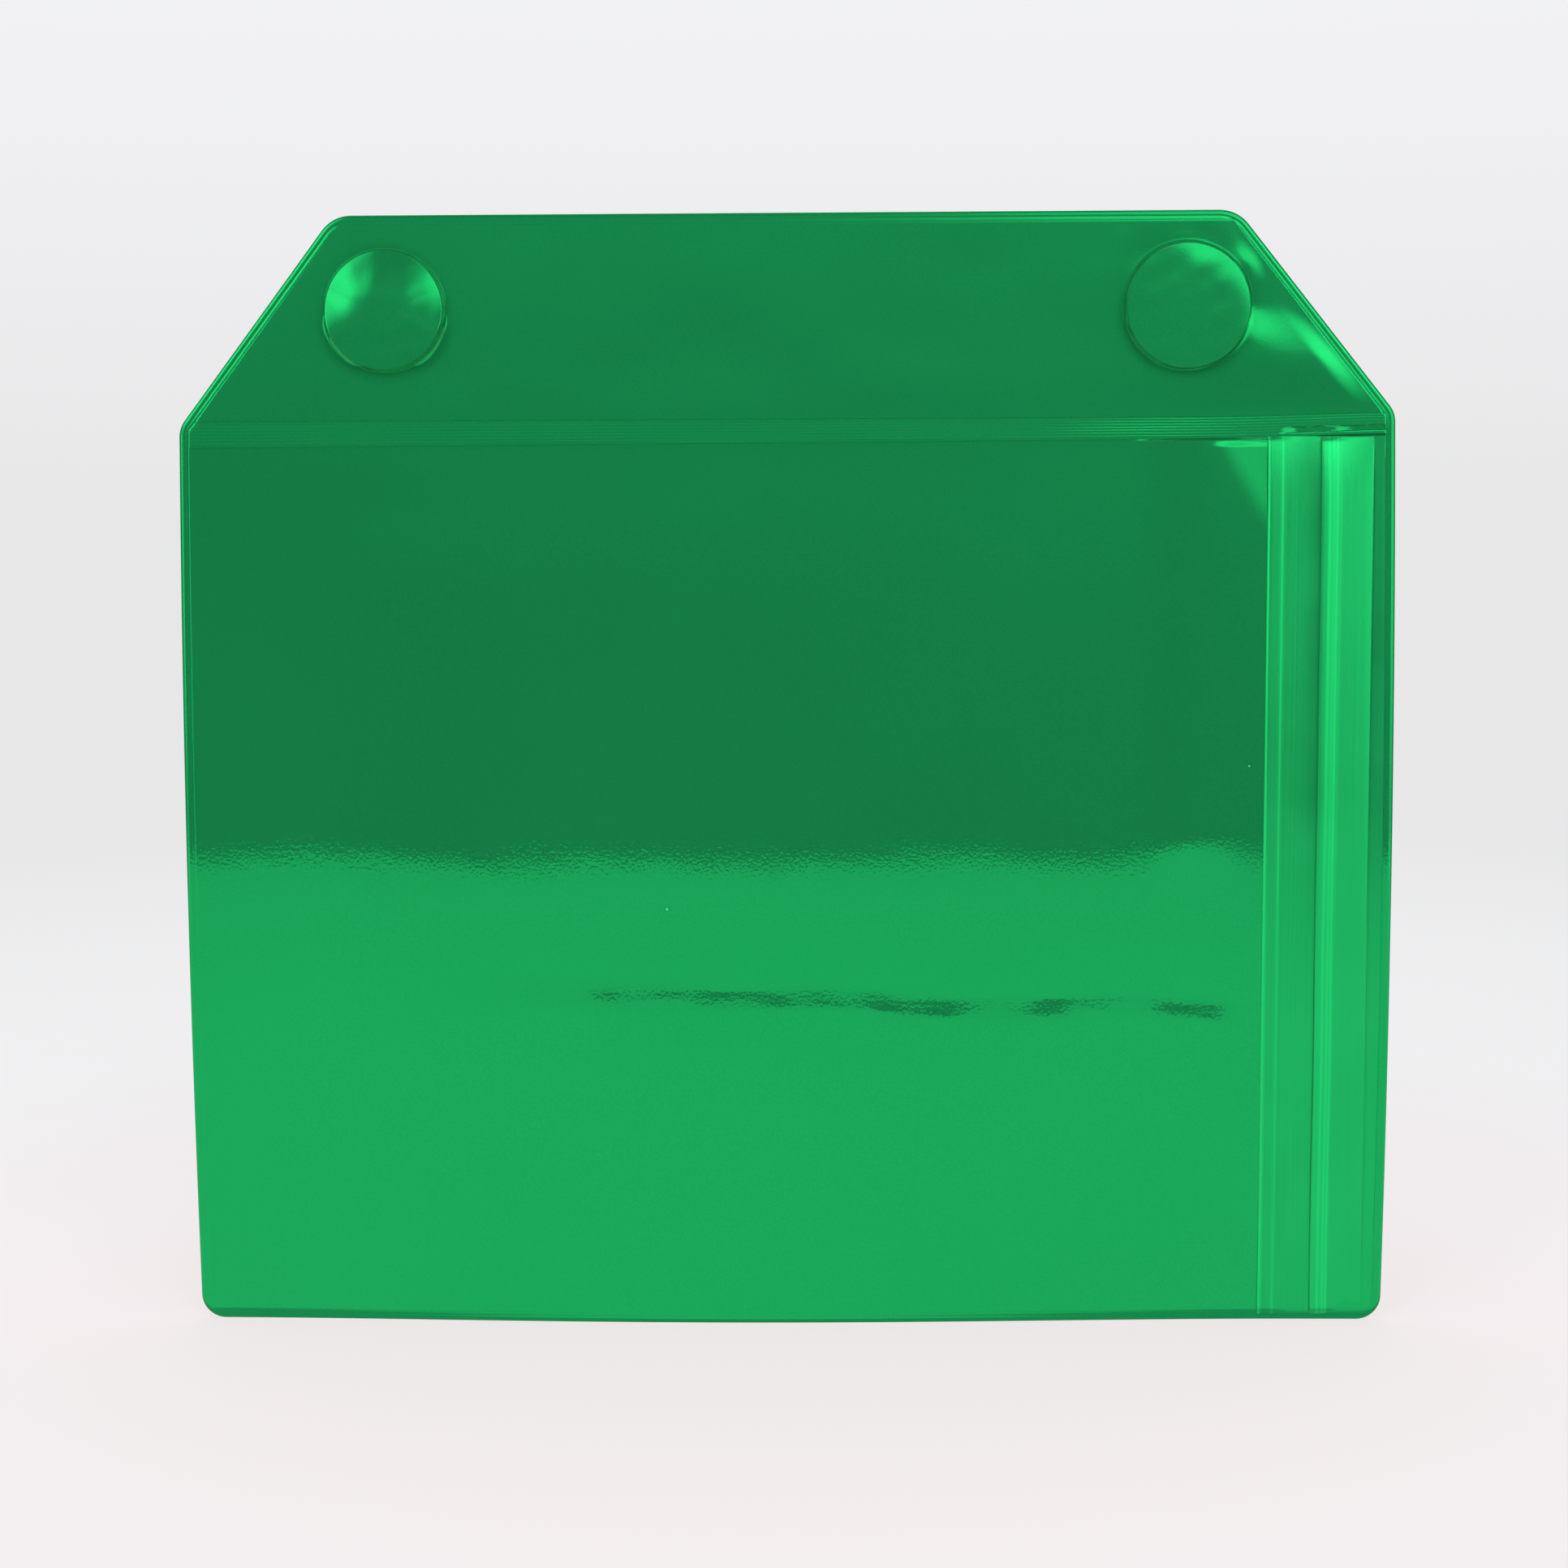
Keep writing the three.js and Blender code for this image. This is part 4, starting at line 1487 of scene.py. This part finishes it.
@dataclass(frozen=True)
class Softbox:
    """One soft area light. Most of them show only in the gloss of the film."""

    name: str
    place: Place
    size: Pair
    radiance: float
    soft_edge: float = 0.3
    lights_surfaces: bool = False
    target: Place = (0.0, 0.0, -60.0)

    def build(self) -> None:
        """Builds the light, aimed at its target."""
        data = bpy.data.lights.new(self.name, "AREA")
        data.shape = "RECTANGLE"
        data.size, data.size_y = (side * MM for side in self.size)
        data.energy = self.radiance * math.pi * data.size * data.size_y
        self.soften(data)
        light = add_object(self.name, data)
        light.location = Vector(self.place) * MM
        aim = Vector(self.target) - Vector(self.place)
        light.rotation_mode = "QUATERNION"
        light.rotation_quaternion = aim.to_track_quat("-Z", "Y")
        light.visible_camera = False
        light.visible_diffuse = self.lights_surfaces

    def soften(self, data: bpy.types.AreaLight) -> None:
        """Lets the light fade towards its edges, as the cloth of a softbox does.

        Args:
            data: Light that fades.
        """
        data.use_nodes = True
        tree = data.node_tree
        tree.nodes.clear()
        spot = add_node(tree, "ShaderNodeNewGeometry").outputs["Parametric"]
        split = add_node(tree, "ShaderNodeSeparateXYZ", links={0: spot})
        middle, shares = 0.5, []
        for side in ("X", "Y"):
            off = add_node(
                tree, "ShaderNodeMath", {1: middle}, {0: split.outputs[side]}, operation="SUBTRACT"
            )
            far = add_node(tree, "ShaderNodeMath", links={0: off.outputs[0]}, operation="ABSOLUTE")
            shares.append(add_node(
                tree, "ShaderNodeMapRange",
                {"From Min": middle, "From Max": middle - self.soft_edge}, {"Value": far.outputs[0]},
                interpolation_type="SMOOTHSTEP",
            ).outputs[0])
        glow = add_node(tree, "ShaderNodeMath", links=dict(enumerate(shares)), operation="MULTIPLY")
        emission = add_node(tree, "ShaderNodeEmission", links={"Strength": glow.outputs[0]})
        add_node(tree, "ShaderNodeOutputLight", links={"Surface": emission.outputs[0]})


@dataclass
class Studio:
    """Plain pale floor that fades into a pale surround, with soft light from both sides."""

    outline: Outline
    floor_front: float = 668.0
    floor_reach: float = 2400.0
    floor_gap: float = 0.05
    fade: Span = (330.0, 950.0)
    floor_colour: str = "#7b797a"
    floor_roughness: float = 0.9
    near_glow: str = "#fdf4f6"
    far_glow: str = "#fafbfc"
    glow_fade: Span = (220.0, 360.0)
    floor_glow: float = 0.72
    low_colour: str = "#e7e7e8"
    high_colour: str = "#f2f2f4"
    colour_rise: Span = (-0.02, 0.15)
    ambient: float = 0.5
    mirrored: float = 1.0
    mirrored_from: Span = (-0.6, 0.1)
    card_height: float = 0.4
    card_margin: float = 4.0
    card_width: float = 1300.0
    card_radiance: float = 2.15
    card_edge: float = 0.004
    card_aim: float = 100.0
    softboxes: tuple[Softbox, ...] = (
        Softbox("softbox_left", (-1190.0, -1900.0, 820.0), (1400.0, 1400.0), 5.5, lights_surfaces=True),
        Softbox("softbox_left_face", (-1120.0, -1892.0, 816.0), (1560.0, 1400.0), 0.8),
        Softbox("upper_window", (300.0, -1890.0, 500.0), (800.0, 560.0), 2.6, soft_edge=0.4),
        Softbox("low_window", (420.0, -1890.0, -60.0), (1300.0, 760.0), 0.33, soft_edge=0.5),
        Softbox("softbox_right", (764.0, -1900.0, 850.0), (1660.0, 1500.0), 5.0, lights_surfaces=True),
        Softbox("softbox_top", (0.0, 150.0, 1400.0), (1800.0, 1800.0), 2.1, lights_surfaces=True),
        Softbox("side_panel_right", (1180.0, -1900.0, 200.0), (1560.0, 1700.0), 5.9, soft_edge=0.35),
        Softbox("side_panel_left", (-1300.0, -1900.0, 200.0), (1150.0, 1700.0), 3.0, soft_edge=0.25),
        Softbox("low_panel_left", (-1232.0, -1890.0, -40.0), (640.0, 560.0), 3.0, soft_edge=0.4),
        Softbox("front_panel", (0.0, -1900.0, 330.0), (2300.0, 900.0), 0.7, soft_edge=0.4),
    )

    def surround(self) -> None:
        """Makes the pale surround, which lights the object less than it shows."""
        world = bpy.data.worlds.new("studio")
        bpy.context.scene.world = world
        world.use_nodes = True
        tree = world.node_tree
        tree.nodes.clear()
        heading = add_node(tree, "ShaderNodeTexCoord").outputs["Generated"]
        split = add_node(tree, "ShaderNodeSeparateXYZ", links={0: heading})
        share = add_node(
            tree, "ShaderNodeMapRange", dict(enumerate(self.colour_rise, 1)),
            {0: split.outputs["Z"]},
        )
        pale = add_node(
            tree, "ShaderNodeMix", {"A": linear(self.low_colour), "B": linear(self.high_colour)},
            {"Factor": share.outputs[0]}, data_type="RGBA",
        ).outputs["Result"]
        seen, fill = (
            add_node(tree, "ShaderNodeBackground", {"Strength": strength}, {"Color": pale})
            for strength in (1.0, self.ambient)
        )
        low, high = self.mirrored_from
        behind = add_node(
            tree, "ShaderNodeMapRange", {"From Min": low, "From Max": high, "To Max": self.mirrored},
            {"Value": split.outputs["Y"]},
        )
        shine = add_node(tree, "ShaderNodeBackground", links={"Color": pale, "Strength": behind.outputs[0]})
        path = add_node(tree, "ShaderNodeLightPath")
        unseen = add_node(
            tree, "ShaderNodeMixShader",
            links={0: path.outputs["Is Glossy Ray"], 1: fill.outputs[0], 2: shine.outputs[0]},
        )
        mixed = add_node(
            tree, "ShaderNodeMixShader",
            links={0: path.outputs["Is Camera Ray"], 1: unseen.outputs[0], 2: seen.outputs[0]},
        )
        add_node(tree, "ShaderNodeOutputWorld", links={"Surface": mixed.outputs[0]})

    def floor_finish(self) -> bpy.types.Material:
        """Makes the floor's matt white, which fades out far from the object.

        Returns:
            The material.
        """
        material, tree = new_material("matt_white_floor")
        place = add_node(tree, "ShaderNodeNewGeometry").outputs["Position"]
        spread = add_node(tree, "ShaderNodeVectorMath", links={0: place}, operation="LENGTH").outputs["Value"]
        fade, aside = (
            add_node(
                tree, "ShaderNodeMapRange", {"From Min": near * MM, "From Max": far * MM}, {"Value": spread},
                interpolation_type=curve,
            ).outputs[0]
            for (near, far), curve in ((self.fade, "SMOOTHSTEP"), (self.glow_fade, "LINEAR"))
        )
        glow = add_node(
            tree, "ShaderNodeMix", {"A": linear(self.near_glow), "B": linear(self.far_glow)},
            {"Factor": aside}, data_type="RGBA",
        )
        matt = add_node(
            tree, "ShaderNodeBsdfPrincipled",
            {
                "Base Color": linear(self.floor_colour), "Roughness": self.floor_roughness,
                "Specular IOR Level": 0.0, "Emission Strength": self.floor_glow,
            },
            {"Emission Color": glow.outputs["Result"]},
        )
        gone = add_node(tree, "ShaderNodeBsdfTransparent")
        mixed = add_node(
            tree, "ShaderNodeMixShader", links={0: fade, 1: matt.outputs[0], 2: gone.outputs[0]}
        )
        add_node(tree, "ShaderNodeOutputMaterial", links={"Surface": mixed.outputs[0]})
        return material

    def floor(self) -> None:
        """Lays the floor in two parts; only the near one shows in the gloss of the film."""
        finish = self.floor_finish()
        reach, level = self.floor_reach, self.outline.bottom - self.floor_gap
        parts = []
        for name, front, back in (
            ("floor_near", -self.floor_front, reach), ("floor_far", -reach, -self.floor_front),
        ):
            corners = [(-reach, front), (reach, front), (reach, back), (-reach, back)]
            mesh = bpy.data.meshes.new(name)
            mesh.from_pydata([(x * MM, y * MM, level * MM) for x, y in corners], [], [(0, 1, 2, 3)])
            mesh.materials.append(finish)
            parts.append(add_object(name, mesh))
        parts[1].visible_glossy = False

    def lights(self) -> None:
        """Sets up the soft lights and the bright card on the floor, which shines upwards."""
        middle, level = (-self.floor_front - self.card_margin) / 2, self.outline.bottom + self.card_height
        card = Softbox(
            "floor_card", (0.0, middle, level), (self.card_width, self.floor_front - self.card_margin),
            self.card_radiance, self.card_edge, target=(0.0, middle, level + self.card_aim),
        )
        for box in (*self.softboxes, card):
            box.build()

    def build(self) -> None:
        """Builds the surround, the floor and the lights."""
        self.surround()
        self.floor()
        self.lights()
        bpy.context.scene.view_settings.view_transform = "Standard"


def main() -> None:
    """Builds the studio and the pocket in it, and reports each piece."""
    logging.basicConfig(level=logging.INFO, format="%(name)s: %(message)s")
    outline, fold, strip = Outline(), Fold(), Strip()
    lie = Lie(outline)
    Camera().build()
    Studio(outline).build()
    film, tape = CalenderedFilm().material(), ExtrudedTape().material()
    parts = (
        BackSheet(outline, lie, film, fold), WeldRim(outline, lie, film, fold),
        HeaderCover(outline, lie, film, fold), PocketFilm(outline, lie, film, strip),
        ClosingStrip(outline, lie, tape, strip), Magnets(NickelPlating().material()),
    )
    for part in parts:
        for piece in part.build():
            mesh = piece.data
            log.info("%s: %d points, %d faces", piece.name, len(mesh.vertices), len(mesh.polygons))


if __name__ == "__main__":
    main()
